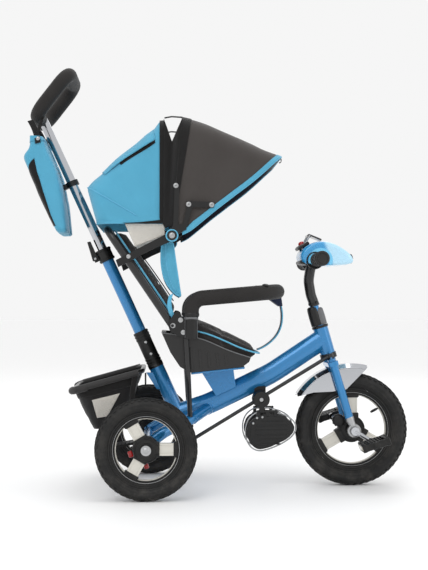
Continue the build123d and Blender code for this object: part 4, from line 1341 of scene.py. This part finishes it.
@dataclass
class Backrest:
    """Padded back on its tube frame, with cloth wings."""

    foot: Flat = (64.7, 428.8)
    tilt: float = 34.2
    half: float = 118.0

    def spot(self, length: float, lift: float, y: float = 0.0) -> Point:
        """Point on the back: length up its slope, lift towards the rider."""
        return leaning(self.tilt, self.foot, length, lift, y)

    def build(self) -> None:
        """Make the pad, its piping, the wings and the side mesh."""
        dress(BLACK_PAINT, "backrest_frame", "canopy_rear_bows")
        self.pad()
        self.wings()
        self.side_mesh()

    def pad(self) -> None:
        """Back pad with sewn channels, piping and an aisle for the harness."""
        x, _, z = self.spot(149, 12)
        shape = block((x, 0, z), (28, 2 * self.half - 4, 262), 13, self.tilt, 4)
        lean = radians(self.tilt)

        def seams(rest: Vector) -> float:
            """Two upright channels and two level ones."""
            ahead = rest.x / MM - AXLE_X / MM - self.foot[0]
            above = rest.z / MM - self.foot[1]
            length = -ahead * sin(lean) + above * cos(lean)
            return groove(abs(rest.y / MM) - 58, 5, 6) + groove(length - 110, 5, 4) + groove(length - 205, 5, 4)

        plumped("back_pad", shape, PAD_CLOTH, "backrest", ["backrest_pad"], seams, 5.0, 7.0)
        h = self.half + 3
        corners = [self.spot(16, 15, -h), self.spot(282, 15, -h), self.spot(282, 15, h), self.spot(16, 15, h)]
        piece("back_pad_piping", tubes(swept(corners, 26, 2.4, closed=True)), SKY_SOLID, "backrest")
        seam = ((60, 33, 30), (120, 35, 42), (215, 34, 50), (240, 26, 52))
        cross = [soft_line([self.spot(up, lift, s * y) for up, lift, y in seam], 1.2) for s in SIDES]
        piece("harness_stitching", tubes(*cross), SKY_SOLID, "backrest")
        belt = ((226, 34, 40), (180, 39, 42), (110, 40, 40), (50, 38, 44))
        harness = [strap([self.spot(up, lift, s * y) for up, lift, y in belt], 24) for s in SIDES]
        band = cloth("shoulder_harness", join(*harness), BLACK_CLOTH, "backrest", 2.2, slot="seat_cloth")

    def wings(self) -> None:
        """Blue cloth cheeks from the hood down to the seat, with piping."""
        front = [(66, 641), (71, 600), (79, 550), (86, 502)]
        rear = [(38, 637), (34, 604), (37, 560), (53, 524), (83, 500)]
        front_line = line_points([(x, 0, z) for x, z in front])
        rear_line = line_points([(x, 0, z) for x, z in rear])
        for s, word in NAMED_SIDES:

            def place(u: float, v: float, side: int = s) -> Vector:
                """Point on the cheek: u down it, v from its rear edge to its front edge."""
                ahead = read(front_line, u)
                back = read(rear_line, u)
                spot = back.lerp(ahead, v)
                bulge = 6 * sin(pi * v) * sin(pi * min(1.0, u * 1.1)) + 3 * v
                spot.y = side * (125 + bulge) * MM + side * ruffle(spot, 30, 2.4, 3.0)
                return spot

            cheek = cloth(f"cheek_{word}", sheet((142, 46), (36, 14), place), SKY, "backrest", 2.4, ["backrest_wings"] if s < 0 else ())
            smoother(cheek)
            edge = [place(i / 24, 1.0) for i in range(25)] + [place(1 - i / 24, 0.0) for i in range(1, 25)]
            rim = [measured(p, s * 0.6) for p in edge]
            seam = [place(i / 16, 0.36) for i in range(17)]
            line = [measured(p, s * 1.6) for p in seam]
            piece(f"cheek_piping_{word}", tubes(soft_line(rim, 2.0, True), soft_line(line, 1.0)), SKY_SOLID, "backrest")
            hook = strap([(62, s * 141, 508), (52, s * 143, 486), (58, s * 141, 462), (70, s * 141, 446)], 12, (0.8, 0, 0.4))
            loop = cloth(f"cheek_strap_{word}", hook, SKY_SOLID, "backrest", 1.6)

    def side_mesh(self) -> None:
        """Pale open mesh between the hood, its arm and the back's tube."""
        for s, word in NAMED_SIDES:

            def place(u: float, v: float, side: int = s) -> Vector:
                """Point on the panel between its four corners."""
                top = Vector((-57, 690)).lerp(Vector((45, 690)), u)
                low = Vector((-30, 628)).lerp(Vector((46, 658)), u)
                spot = top.lerp(low, v)
                return at(spot.x, side * (146.2 - 2.5 * sin(pi * u) * sin(pi * v)), spot.y)

            panel = cloth(f"side_mesh_{word}", sheet((122, 70), (24, 14), place), MESH, "backrest", 0.8)


def read(line: Sequence[Vector], share: float) -> Vector:
    """Point at a share of the way along a line of points."""
    spot = share * (len(line) - 1)
    index = min(int(spot), len(line) - 2)
    return line[index].lerp(line[index + 1], spot - index)


# ---- hood --------------------------------------------------------------------
@dataclass
class Hood:
    """Folding canopy: a fixed rear half, a front half and the gussets between them."""

    pivot: Flat = (63.3, 655.5)
    rear_half: float = 149.4
    front_half: float = 165.4
    rear_bend: float = 38.0
    front_bend: float = 46.0

    def polar(self, angle: float, reach: float, y: float) -> Vector:
        """Point by its angle about the pivot."""
        return at(self.pivot[0] + reach * cos(radians(angle)), y, self.pivot[1] + reach * sin(radians(angle)))

    @staticmethod
    def curve(angle: float, known: Sequence[Flat]) -> float:
        """Reach on a smooth line through known (angle, reach) pairs."""
        angle = min(max(angle, known[0][0]), known[-1][0])
        i = max(k for k in range(len(known) - 1) if known[k][0] <= angle)
        slopes = []
        for k in (i, i + 1):
            before, after = known[max(0, k - 1)], known[min(len(known) - 1, k + 1)]
            slopes.append((after[1] - before[1]) / (after[0] - before[0]))
        (a, low), (b, high) = known[i], known[i + 1]
        t, run = (angle - a) / (b - a), b - a
        first = (2 * t ** 3 - 3 * t ** 2 + 1) * low + (t ** 3 - 2 * t ** 2 + t) * run * slopes[0]
        return first + (3 * t ** 2 - 2 * t ** 3) * high + (t ** 3 - t ** 2) * run * slopes[1]

    def rear_reach(self, angle: float) -> float:
        """Reach of the rear cloth's crown."""
        if angle <= 150.4:
            return self.curve(angle, ((96, 297.5), (100, 278), (107, 258), (116, 247), (127, 241), (138, 241), (146, 246), (150.4, 248)))
        c, s = cos(radians(angle)), sin(radians(angle))
        x0, z0, x1, z1 = -215.3, 122.5, -190.8, 28.5
        return (x0 * (z1 - z0) - z0 * (x1 - x0)) / (c * (z1 - z0) - s * (x1 - x0))

    def front_reach(self, angle: float) -> float:
        """Reach of the front cloth's crown."""
        return self.curve(angle, ((36.3, 347.5), (45, 322), (60, 304.5), (75, 303.5), (84.4, 306)))

    def hem_angle(self, reach: float) -> float:
        """Angle of the front hem at a reach from the pivot."""
        return self.curve(reach, ((26, 6), (40, 12.4), (70, 23), (115, 29.7), (178, 32.7), (248, 34.1), (322, 35.9), (348, 36.3)))

    @staticmethod
    def hoop(low: float, high: float, half: float, bend: float, share: float) -> tuple[float, float]:
        """Place round a hoop, from its right foot over the crown to its left foot.

        Args:
            low: reach at the feet.
            high: reach at the crown.
            half: half width.
            bend: shoulder radius.
            share: how far round, from 0 to 1.

        Returns:
            Reach and sideways place.
        """
        bend = min(bend, max(0.5, (high - low) * 0.9))
        rise, arc, top = high - bend - low, pi * bend / 2, 2 * (half - bend)
        total = 2 * rise + 2 * arc + top
        run = share * total
        mirror = 1
        if run > total / 2:
            run, mirror = total - run, -1
        if run < rise:
            return low + run, -half * mirror
        if run < rise + arc:
            turn = (run - rise) / bend
            return high - bend + bend * sin(turn), (-half + bend - bend * cos(turn)) * mirror
        return high, (-half + bend + run - rise - arc) * mirror

    def rear_point(self, u: float, v: float, out: float = 0.0) -> Vector:
        """Point on the rear cloth: u from the bow to its rear hem, v over the crown."""
        angle = 96 + (171.3 - 96) * u
        low = 30.5 / sin(radians(angle)) if angle < 171.2 else 192.0
        high = self.rear_reach(angle) - 2.0 * sin(pi * min(1.0, u / 0.7)) * sin(pi * v)
        low = min(low, high - 0.6)
        reach, y = self.hoop(low, high, self.rear_half, self.rear_bend, v)
        wall = min(1.0, abs(y) / self.rear_half) ** 6
        share = (reach - low) / max(high - low, 1.0)
        fold = 5.6 * sin(9.5 * (u + 0.55 * share) + 0.8) * share * (1 - share) * 3 * wall * sin(pi * u)
        fold -= 4.0 * sin(pi * share) * sin(pi * u) * wall
        fold *= min(1.0, ((u - 0.7) / 0.16) ** 2)
        spot = self.polar(angle, reach, y)
        side = 1 if y > 0 else -1
        spot.y += side * fold * MM + side * wall * ruffle(spot, 11, 2.2, 1.0) * sin(pi * u)
        outward = (1 - wall) * ruffle(spot, 10, 2.0, 7.0) * sin(pi * u)
        lift = Vector((cos(radians(angle)), 0, sin(radians(angle))))
        spot += lift * (outward + out * MM * (1 - wall))
        spot.y += side * out * MM * wall
        return spot

    def front_point(self, u: float, v: float, out: float = 0.0) -> Vector:
        """Point on the front cloth: u from the bow to its front hem, v over the crown."""
        high = self.front_reach(84.4 - 48.1 * u) - 3.0 * sin(pi * u) * sin(pi * v)
        reach, y = self.hoop(26.0, high, self.front_half, self.front_bend, v)
        angle = 84.4 + (self.hem_angle(reach / high * 347.5) - 84.4) * u
        wall = min(1.0, abs(y) / self.front_half) ** 6
        share = (reach - 26) / (high - 26)
        dent = -6.5 * sin(pi * u) * sin(pi * min(1.0, share * 1.1)) - 3.6 * sin(11.0 * u + 3.6 * share) * sin(pi * u) * min(1.0, share * 2)
        spot = self.polar(angle, reach, y)
        side = 1 if y > 0 else -1
        spot.y += side * wall * (dent * MM + ruffle(spot, 8, 2.0, 5.0) * sin(pi * u))
        lift = Vector((cos(radians(angle)), 0, sin(radians(angle))))
        spot += lift * ((1 - wall) * ruffle(spot, 9, 1.8, 9.0) * sin(pi * u) + out * MM * (1 - wall))
        spot.y += side * out * MM * wall
        return spot

    def build(self) -> None:
        """Make both halves, their bands, gussets, rivets and pulls."""
        dress(BLACK_PAINT, "canopy_front_bows")
        dress(PLASTIC, "canopy_arms", "canopy_braces")
        self.rear()
        self.front()
        self.gussets()
        self.fixings()

    def rear(self) -> None:
        """Rear cloth, its black bands and the loose flap over it, with a black sheet under the flap as painted shadow.
        """
        cover = cloth("hood_rear", sheet((330, 760), (46, 96), self.rear_point), SKY, "backrest", 1.6, ["canopy_rear_cloth"], -1.0)
        band = cloth("rear_bow_band", sheet((12, 780), (4, 96), self.band_point), BLACK_CLOTH, "backrest", 1.4)
        hem = cloth("rear_hem", sheet((105, 10), (40, 3), self.hem_point), BLACK_CLOTH, "backrest", 1.4)
        seam = [self.rear_point(0.715, i / 60, 0.8) for i in range(4, 57)]
        line = [measured(p) for p in seam]
        piece("rear_seam", tubes(soft_line(line, 1.3)), SKY_SOLID, "backrest")

        def flap(u: float, v: float) -> Vector:
            """Loose flap that stands off the crown, most at its front corners."""
            edge = abs(2 * v - 1) ** 3
            lift = min(1.0, u / 0.12) * (3.0 + 10.0 * (1 - u) * edge + 1.2 * sin(11 * u) * edge)
            return self.rear_point(0.05 + 0.50 * u, 0.285 + 0.43 * v, lift)

        # Painted shadow: a black sheet just under the lifted flap stands for the shade in the gap beneath it.
        flap_shadow_sheet = sheet((120, 300), (20, 40), lambda u, v: self.rear_point(0.055 + 0.34 * u, 0.275 + 0.45 * v, 0.9))
        flap_shadow = cloth("hood_flap_painted_shadow", flap_shadow_sheet, BLACK_CLOTH, "backrest", 0.8)
        loose = cloth("hood_flap", sheet((170, 300), (30, 60), flap), SKY, "backrest", 1.6)

    def band_point(self, u: float, v: float) -> Vector:
        """Point on the upright black band along the rear half's front edge."""
        reach, y = self.hoop(31.0, 299.0, self.rear_half + 1.2, self.rear_bend, v)
        return self.polar(90 + degrees(asin(min(0.62, (20.5 + 11 * u) / reach))), reach, y)

    def hem_point(self, u: float, v: float) -> Vector:
        """Point on the black strip along the rear cloth's lower hem."""
        return self.rear_point(0.36 + 0.56 * u, 0.001 + 0.018 * v, 1.2)

    def front(self) -> None:
        """Front cloth, its dark lining, band and light piping."""
        cover = cloth("hood_front", sheet((260, 860), (40, 110), self.front_point), CHARCOAL, "canopy_front", 1.5, ["canopy_front_cloth"], -1.0)
        lining = sheet((260, 860), (30, 80), lambda u, v: self.front_point(0.02 + 0.975 * u, 0.01 + 0.98 * v, -2.8))
        inside = cloth("hood_lining", lining, NAVY_CLOTH, "canopy_front", 0.8)
        bow = sheet((22, 860), (6, 110), lambda u, v: self.front_point(-0.02 + 0.10 * u, v, 1.1))
        band = cloth("front_bow_band", bow, BLACK_CLOTH, "canopy_front", 1.4)

        def edge(u: float, v: float) -> Vector:
            """Point on the level band along the front hem."""
            reach = self.hoop(26.0, 347.5, self.front_half, self.front_bend, v)[0]
            wide = min(0.2, 10.5 / (reach * radians(48.0)))
            return self.front_point(1.002 - wide * (1 - u), v, 1.3)

        strip = cloth("front_hem_band", sheet((11, 930), (4, 120), edge), SKY, "canopy_front", 1.2)
        rim = [self.front_point(1.004, i / 90, 0.4) for i in range(91)]
        line = [measured(p) for p in rim]
        piece("front_piping", tubes(soft_line(line, 1.5)), SKY_SOLID, "canopy_front")

    def gussets(self) -> None:
        """Folded black cloth between the two middle bows, and a stay across each top."""
        for s, word in NAMED_SIDES:

            def place(u: float, v: float, side: int = s) -> Vector:
                """Point on the folded gusset: u from the rear bow to the front one, v up it."""
                reach = 24 + (240 + 58 * abs(2 * u - 1) ** 1.1 - 24) * v
                rear = 90 + degrees(asin(min(0.62, 21 / reach)))
                angle = rear + (85.0 - rear) * u
                depth = 151.5 + 13 * u - 9 * sin(pi * u) * v + 2.0 * sin(3 * pi * u) * v
                return self.polar(angle, reach, side * depth)

            fold = cloth(f"gusset_{word}", sheet((60, 260), (16, 40), place), BLACK_CLOTH, None, 1.2)
            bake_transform(fold)
            rod = tubes(swept([(44, s * 118, 960), (62, s * 118, 963.5), (90, s * 118, 962)], 20, 2.0))
            stay = piece(f"hood_stay_{word}", rod, BLACK_PAINT, None, slot="canopy_black")
            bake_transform(stay)

    def fixings(self) -> None:
        """Rivets, pivot caps, piping loops and the small pull at the tip."""
        for s, word in NAMED_SIDES:
            y = s * (self.front_half + 4.0)
            rivets(f"hood_rivets_{word}", [(73, y, 781), (105, y, 734), (163, y, 733)], 6.4, "canopy_front", s)
            rivets(f"pivot_rivet_{word}", [(self.pivot[0], s * 170.3, self.pivot[1])], 7.4, "backrest", s)
            rivets(f"arm_rivet_{word}", [(-46, s * 157.2, 603)], 5.4, "backrest", s)
        ring = [(12.6, 0), (14.4, 1.8), (16.2, 0), (14.4, -1.8)]
        loops = [lathe(ring, (self.pivot[0], s * 169, self.pivot[1]), (0, s, 0), 48, closed=True) for s in SIDES]
        piece("pivot_piping", join(*loops), SKY_SOLID, "canopy_front")
        tip = self.front_point(1.0, 0.36)
        x, _, z = measured(tip)
        pull = strap([(x + 1, -112, z - 2), (x + 4, -112, z - 8), (x + 1, -112, z - 16), (x - 3, -112, z - 12)], 10)
        tag = cloth("tip_pull", pull, BLACK_CLOTH, "canopy_front", 1.4)


# ---- basket, handle and bag ------------------------------------------------
def tub(size: Flat, cells: tuple[int, int], ring: Callable[[float, float], Vector]) -> Shape:
    """Closed wall made from a grid whose two ends meet.

    Args:
        size: girth and height in millimetres.
        cells: cells round it and up it.
        ring: point in metres for a share round it and a share up it.

    Returns:
        The mesh.
    """
    return sheet(size, cells, lambda u, v: ring(u % 1.0, v))


def rounded_square(share: float, power: float = 5.0) -> Flat:
    """Point from -1 to 1 each way round a square with soft corners."""
    turn = 2 * pi * share
    c, s = cos(turn), sin(turn)
    return (abs(c) ** (2 / power) * (1 if c >= 0 else -1), abs(s) ** (2 / power) * (1 if s >= 0 else -1))


@dataclass
class Basket:
    """Cloth tub hung from a wire rim behind the socket."""

    top_rear: Flat = (-184, 260)
    top_front: Flat = (-17, 305)
    low_rear: Flat = (-137, 164)
    low_front: Flat = (-66, 171)
    half: float = 123.0

    def wall(self, u: float, v: float, out: float = 0.0) -> Vector:
        """Point on the tub: u round it, v from the middle of its floor (0) over its edge (0.2) to its rim (1)."""
        a, b = rounded_square(u)
        height = max(0.0, (v - 0.2) / 0.8)
        inner = min(1.0, v / 0.2)
        rear = Vector(self.low_rear).lerp(Vector(self.top_rear), height)
        ahead = Vector(self.low_front).lerp(Vector(self.top_front), height)
        reach = self.half - 8 * (1 - height)
        swell = 4.0 * sin(pi * height)
        mid = (rear + ahead) / 2
        span = (ahead - rear) / 2
        spot = mid + span * a * inner * (1 + (swell + out) / max(20.0, span.length))
        y = b * inner * (reach + swell * 0.4 + out)
        floor = -4.0 * (1 - inner ** 2)
        place = at(spot.x, y, spot.y + floor)
        place += Vector((ruffle(place, 16, 2.6, 2.0), ruffle(place, 16, 2.2, 6.0) * min(1.0, height * 3), 0)) * (1 - height ** 3)
        return place

    def build(self) -> None:
        """Make the tub, its collar, windows and loose straps."""
        body = cloth("basket_tub", tub((560, 190), (120, 34), self.wall), BASKET, "frame", 1.6, ["basket_bag"])
        turned = tub((560, 26), (120, 5), lambda u, v: self.wall(u, 0.84 + 0.165 * v, 1.8 + 1.2 * sin(pi * v)))
        collar = cloth("basket_collar", turned, BLACK_CLOTH, "frame", 1.6, slot="basket_cloth")
        sleeve = [swept([(-180, s * 128, 266.5), (-22, s * 128, 309.5)], 1, 8.2) for s in SIDES]
        piece("basket_rim_sleeves", tubes(*sleeve), BLACK_ROUGH, "frame")
        ends = [swept([(-152, s * 128, 273), (-192, s * 128, 261), (-192, s * 72, 261)], 36, 9.4) for s in SIDES]
        piece("basket_corners", tubes(*ends), BLACK_ROUGH, "frame", slot="black_plastic")
        for s, word in NAMED_SIDES:

            def window(u: float, v: float, side: int = s) -> Vector:
                """Point on the see-through side panel."""
                low = Vector((-126, 194)).lerp(Vector((-100, 198)), u)
                high = Vector((-139, 240)).lerp(Vector((-68, 257)), u)
                spot = low.lerp(high, v)
                return at(spot.x, side * (126.4 + 2.6 * sin(pi * v) * sin(pi * u) - 5.6 * (1 - v)), spot.y)

            pane = cloth(f"basket_window_{word}", sheet((80, 80), (16, 16), window), MESH, "frame", 0.8, slot="basket_cloth")
            tail = strap([(-30, s * 130, 300), (-33, s * 134, 282), (-38, s * 131, 262), (-36, s * 133, 240)], 13, (1, 0, 0.2), 1.5)
            tie = cloth(f"basket_tail_{word}", tail, BLACK_CLOTH, "frame", 1.6, slot="basket_cloth")


@dataclass
class ParentHandle:
    """Two-piece pole, clamp, hand loop and bag."""

    tilt: float = 24.7
    foot: Flat = (69.8, 214.7)
    joint: float = 440.0
    loop_tilt: float = 37.5
    loop_foot: Flat = (-286.0, 972.0)
    loop_reach: float = 136.0
    loop_half: float = 92.0

    def axis(self) -> Point:
        """Direction of the pole."""
        return (-sin(radians(self.tilt)), 0.0, cos(radians(self.tilt)))

    def spot(self, travel: float, ahead: float = 0.0, y: float = 0.0) -> Point:
        """Point by the pole's own directions."""
        return leaning(self.tilt, self.foot, travel, ahead, y)

    def build(self) -> None:
        """Make every piece along the pole."""
        dress(PAINT, "pole_lower")
        dress(CHROME, "pole_upper")
        dress(PLASTIC, "clamp_lever", "bag_clip", "pole_collars")
        self.sleeve()
        self.loop()
        self.bag()

    def sleeve(self) -> None:
        """Rings on the sleeve, the clamp's screw and the stop pins."""
        rings = []
        for travel in (122, 130, 138, 196, 204, 212):
            rings.append(lathe([(19.2, 0), (20.4, 0.8), (20.6, 3), (20.4, 5.2), (19.2, 6)], self.spot(travel - 3), self.axis(), 48, closed=True))
        for travel in (self.joint - 17, self.joint + 9):
            rings.append(lathe([(19.8, 0), (21.4, 1), (21.6, 5), (19.8, 6)], self.spot(travel), self.axis(), 48, closed=True))
        piece("sleeve_rings", join(*rings), PLASTIC, "pole_base")
        pin = [(0, 2.2), (3, 2), (4, 0.8), (4, -1.5), (0, -1.5)]
        pins = [lathe(pin, self.spot(t, 2, s * 19.2), (0, s, 0), 20) for t in (150, 184) for s in SIDES]
        piece("sleeve_pins", join(*pins), STEEL, "pole_base")
        screw = [lathe([(0, 15), (2.4, 15), (3.6, 14), (3.6, 12), (0, 12)], self.spot(self.joint, -27), (0, s, 0), 20) for s in SIDES]
        piece("clamp_pin_heads", join(*screw), STEEL, "pole_base")

    def loop_point(self, travel: float, y: float) -> Point:
        """Point in the hand loop's plane."""
        lean = radians(self.loop_tilt)
        return (self.loop_foot[0] + travel * sin(lean), y, self.loop_foot[1] + travel * cos(lean))

    def loop(self) -> None:
        """Foam grip all round the loop, with its seams."""
        h, r = self.loop_half, self.loop_reach
        corners = [self.loop_point(0, -h), self.loop_point(r, -h), self.loop_point(r, h), self.loop_point(0, h)]
        piece("handle_grip", tubes(swept(corners, 38, 18.6, closed=True, sides=8)), FOAM, "push_handle", ["handle_foam"], 60)
        joints = [lathe([(18.2, -1.2), (19.1, 0), (18.2, 1.2)], self.loop_point(0, y), (0, 1, 0), 40, closed=True) for y in (-30, 30)]
        piece("handle_seams", join(*joints), GRIP, "push_handle", slot="foam")

    def bag(self) -> None:
        """Sagging cloth bag with black side gussets, hem and hanging straps."""
        front = line_points([(-207, 0, 669), (-211, 0, 720), (-217, 0, 782), (-237, 0, 838), (-259, 0, 888), (-270, 0, 914)])
        rear = line_points([(-233, 0, 668), (-262, 0, 724), (-285, 0, 776), (-309, 0, 832),
                            (-324, 0, 866), (-312, 0, 877), (-302, 0, 888), (-302, 0, 916)])

        def wall(u: float, v: float, out: float = 0.0) -> Vector:
            """Point on the bag: u round it, v from the middle of its foot (0) to its mouth (1)."""
            a, b = rounded_square(u, 6.0)
            height = max(0.0, (v - 0.08) / 0.92)
            inner = min(1.0, v / 0.08)
            ahead, back = read(front, height), read(rear, height)
            mid, span = (ahead + back) / 2, (ahead - back) / 2
            reach = (88 + 9 * min(1.0, height * 2.2)) * MM
            belly = 1 - 0.05 * sin(pi * height) * (1 - abs(b))
            spot = mid + span * a * inner * belly
            spot.y = b * inner * (reach + out * MM - 0.004 * sin(pi * height) * (1 - abs(a) ** 2))
            spot += span.normalized() * a * inner * out * MM
            crumple = (1 - height ** 4) * min(1.0, height * 4)
            spot += Vector((ruffle(spot, 13, 2.6, 4.0), ruffle(spot, 15, 1.8, 8.0), 0)) * crumple
            return spot

        shell = cloth("bag_shell", tub((420, 270), (110, 46), wall), SKY, "push_handle", 1.8, ["bag"], slot="bag_blue")
        hem = cloth("bag_hem", tub((420, 12), (110, 3), lambda u, v: wall(u, 0.958 + 0.043 * v, 1.6)), SKY, "push_handle", 1.4, slot="bag_blue")
        for s, word in NAMED_SIDES:
            middle = 0.25 if s > 0 else 0.75

            def gusset(u: float, v: float, side: int = s, centre: float = middle) -> Vector:
                """Point on the black dart, from its front edge to its rear edge."""
                ahead = 0.27 + 0.32 * (1 - u) ** 1.6
                behind = ahead + (0.985 - ahead) * min(1.0, (1 - u) / 0.45)
                turn = asin((ahead + (behind - ahead) * v) ** 3) / (2 * pi)
                return wall(centre + side * turn, 0.1 + 0.59 * u, 1.4)

            dart = cloth(f"bag_gusset_{word}", sheet((170, 40), (40, 12), gusset), BLACK_CLOTH, "push_handle", 1.2)
            hang = join(strap([(-302, s * 84, 957), (-290, s * 94, 938), (-281, s * 99, 916), (-280, s * 99.6, 896)], 15, (1, 0, 0.3)),
                        strap([(-270, s * 82, 966), (-276, s * 93, 944), (-280, s * 98.4, 924)], 9, (1, 0, 0.2)))
            tape = cloth(f"bag_strap_{word}", hang, BLACK_CLOTH, "push_handle", 1.4)
            snap = lathe([(0, 3), (3.4, 2.8), (5, 1.6), (5.6, 0), (0, 0)], (-280, s * 100, 908), (0, s, 0), 24)
            piece(f"bag_snap_{word}", snap, STEEL, "push_handle")


@dataclass
class Footrests:
    """Fold-out rests, their wire loops and clamp discs, and the foot brake."""

    outline: tuple[Flat, ...] = (
        (300, 196), (268, 178), (258, 150), (266, 120), (288, 102), (318, 108), (366, 130), (386, 152), (382, 172), (352, 194))

    def build(self) -> None:
        """Make both rests, the clamp discs and the brake's red pads."""
        for side, word in NAMED_SIDES:
            self.rest(side, word)
        face = [(0, 0), (6, 0), (7, 1.6), (15, 2), (20.6, 0.8), (22, -1.4), (22, -6), (0, -6)]
        piece("guide_disc", lathe(face, (298, -59, 233), (0, -1, 0), 48), PLASTIC, "frame")
        rivets("guide_rivet", [(298, -60, 233)], 5.0, "frame", -1, False)
        self.brake()

    def rest(self, side: int, word: str) -> None:
        """One rest: a bevelled plate with ribs and a wire loop behind it."""
        body = f"footrest_{word[0]}"
        board = plate(self.outline, 55, 61, 1.6, 12)
        ribs = []
        for index in range(6):
            z = 118 + 12 * index
            width = (34, 46, 56, 60, 56, 40)[index]
            ribs.append(block((322 + index, 62, z), (width * 1.5, 3.2, 3.6), 1.1))
        rim = plate([(x * 0.86 + 322 * 0.14, z * 0.86 + 150 * 0.14) for x, z in self.outline], 60, 62.4, 1.0, 10)
        hinge = [block((x, 58, 197), (9, 8, 16), 1.6) for x in (290, 314, 334)]
        bar = lathe([(0, -24), (3.4, -24), (4, -23), (4, 30), (3.4, 31), (0, 31)], (310, 58, 202), (1, 0, 0), 24)
        whole = join(board, rim, bar, *ribs, *hinge)
        if side < 0:
            bmesh.ops.scale(whole, vec=(1, -1, 1), verts=whole.verts)
            bmesh.ops.reverse_faces(whole, faces=whole.faces)
        piece(f"footrest_plate_{word}", whole, PLASTIC, body, [f"footrest_{word}"])
        wire = [(300, 203), (350, 199), (388, 178), (392, 150), (368, 124), (318, 102), (286, 96), (262, 114), (253, 150), (262, 184), (285, 200)]
        loop = soft_line([(x, side * 52.5, z) for x, z in wire], 1.9, closed=True)
        piece(f"footrest_wire_{word}", tubes(loop), STEEL, body)
        stud = [(0, 2), (2.6, 1.8), (3.6, 0.4), (3.6, -2), (0, -2)]
        studs = [lathe(stud, (x, side * 62.4, z), (0, side, 0), 20) for x, z in ((286, 186), (276, 172), (300, 188))]
        piece(f"footrest_studs_{word}", join(*studs), STEEL, body)

    def brake(self) -> None:
        """Red brake shoes and a ribbed tread on the foot brake."""
        pads = [block((-31 + e, s * 186, 113 - abs(e) * 0.2), (12, 12, 16), 3, 20) for s in SIDES for e in (-8, 8)]
        pads += [block((0, s * 178, 80), (12, 10, 13), 3, 20) for s in SIDES]
        piece("brake_shoes", join(*pads), RED, "foot_brake")
        links = [swept([(-28, s * 182, 106), (-16, s * 180, 90), (-2, s * 178, 80)], 8, 2.4) for s in SIDES]
        piece("brake_links", tubes(*links), HUB_BLACK, "foot_brake")
        ribs = [block((-88 + 10 * k, 0, 109.6 + 1.9 * k), (3, 62, 3), 1) for k in range(5)]
        piece("brake_tread", join(*ribs), GRIP, "foot_brake")


def main() -> None:
    """Build the tricycle and its studio."""
    logging.basicConfig(level=logging.INFO, format="%(message)s")
    Studio().build()
    z_rear, z_front = 127.0, 150.0
    for side, word in NAMED_SIDES:
        hub_in, hub_out = (-22, 21) if side < 0 else (-21, 22)
        Wheel(f"rear_{word}", f"wheel_rear_{word}", (0, side * 215.0, z_rear), 127, 93.2, 75, 20, 33, 31, 0, hub_in, hub_out, 6.2, 46).build()
    Wheel("front", "front_wheel", (543.5, 0, z_front), 150, 109.2, 91, 22.5, 36, 33, 90, -36, 36, 7.2, 54, 9.0).build()
    for part in (FrontWheelExtras(), PaintedFrame(), Steering(), Console(), Seat(), Backrest(), Hood(), Basket(), ParentHandle(), Footrests()):
        part.build()
        LOG.info("built %s", type(part).__name__)


if __name__ == "__main__":
    main()
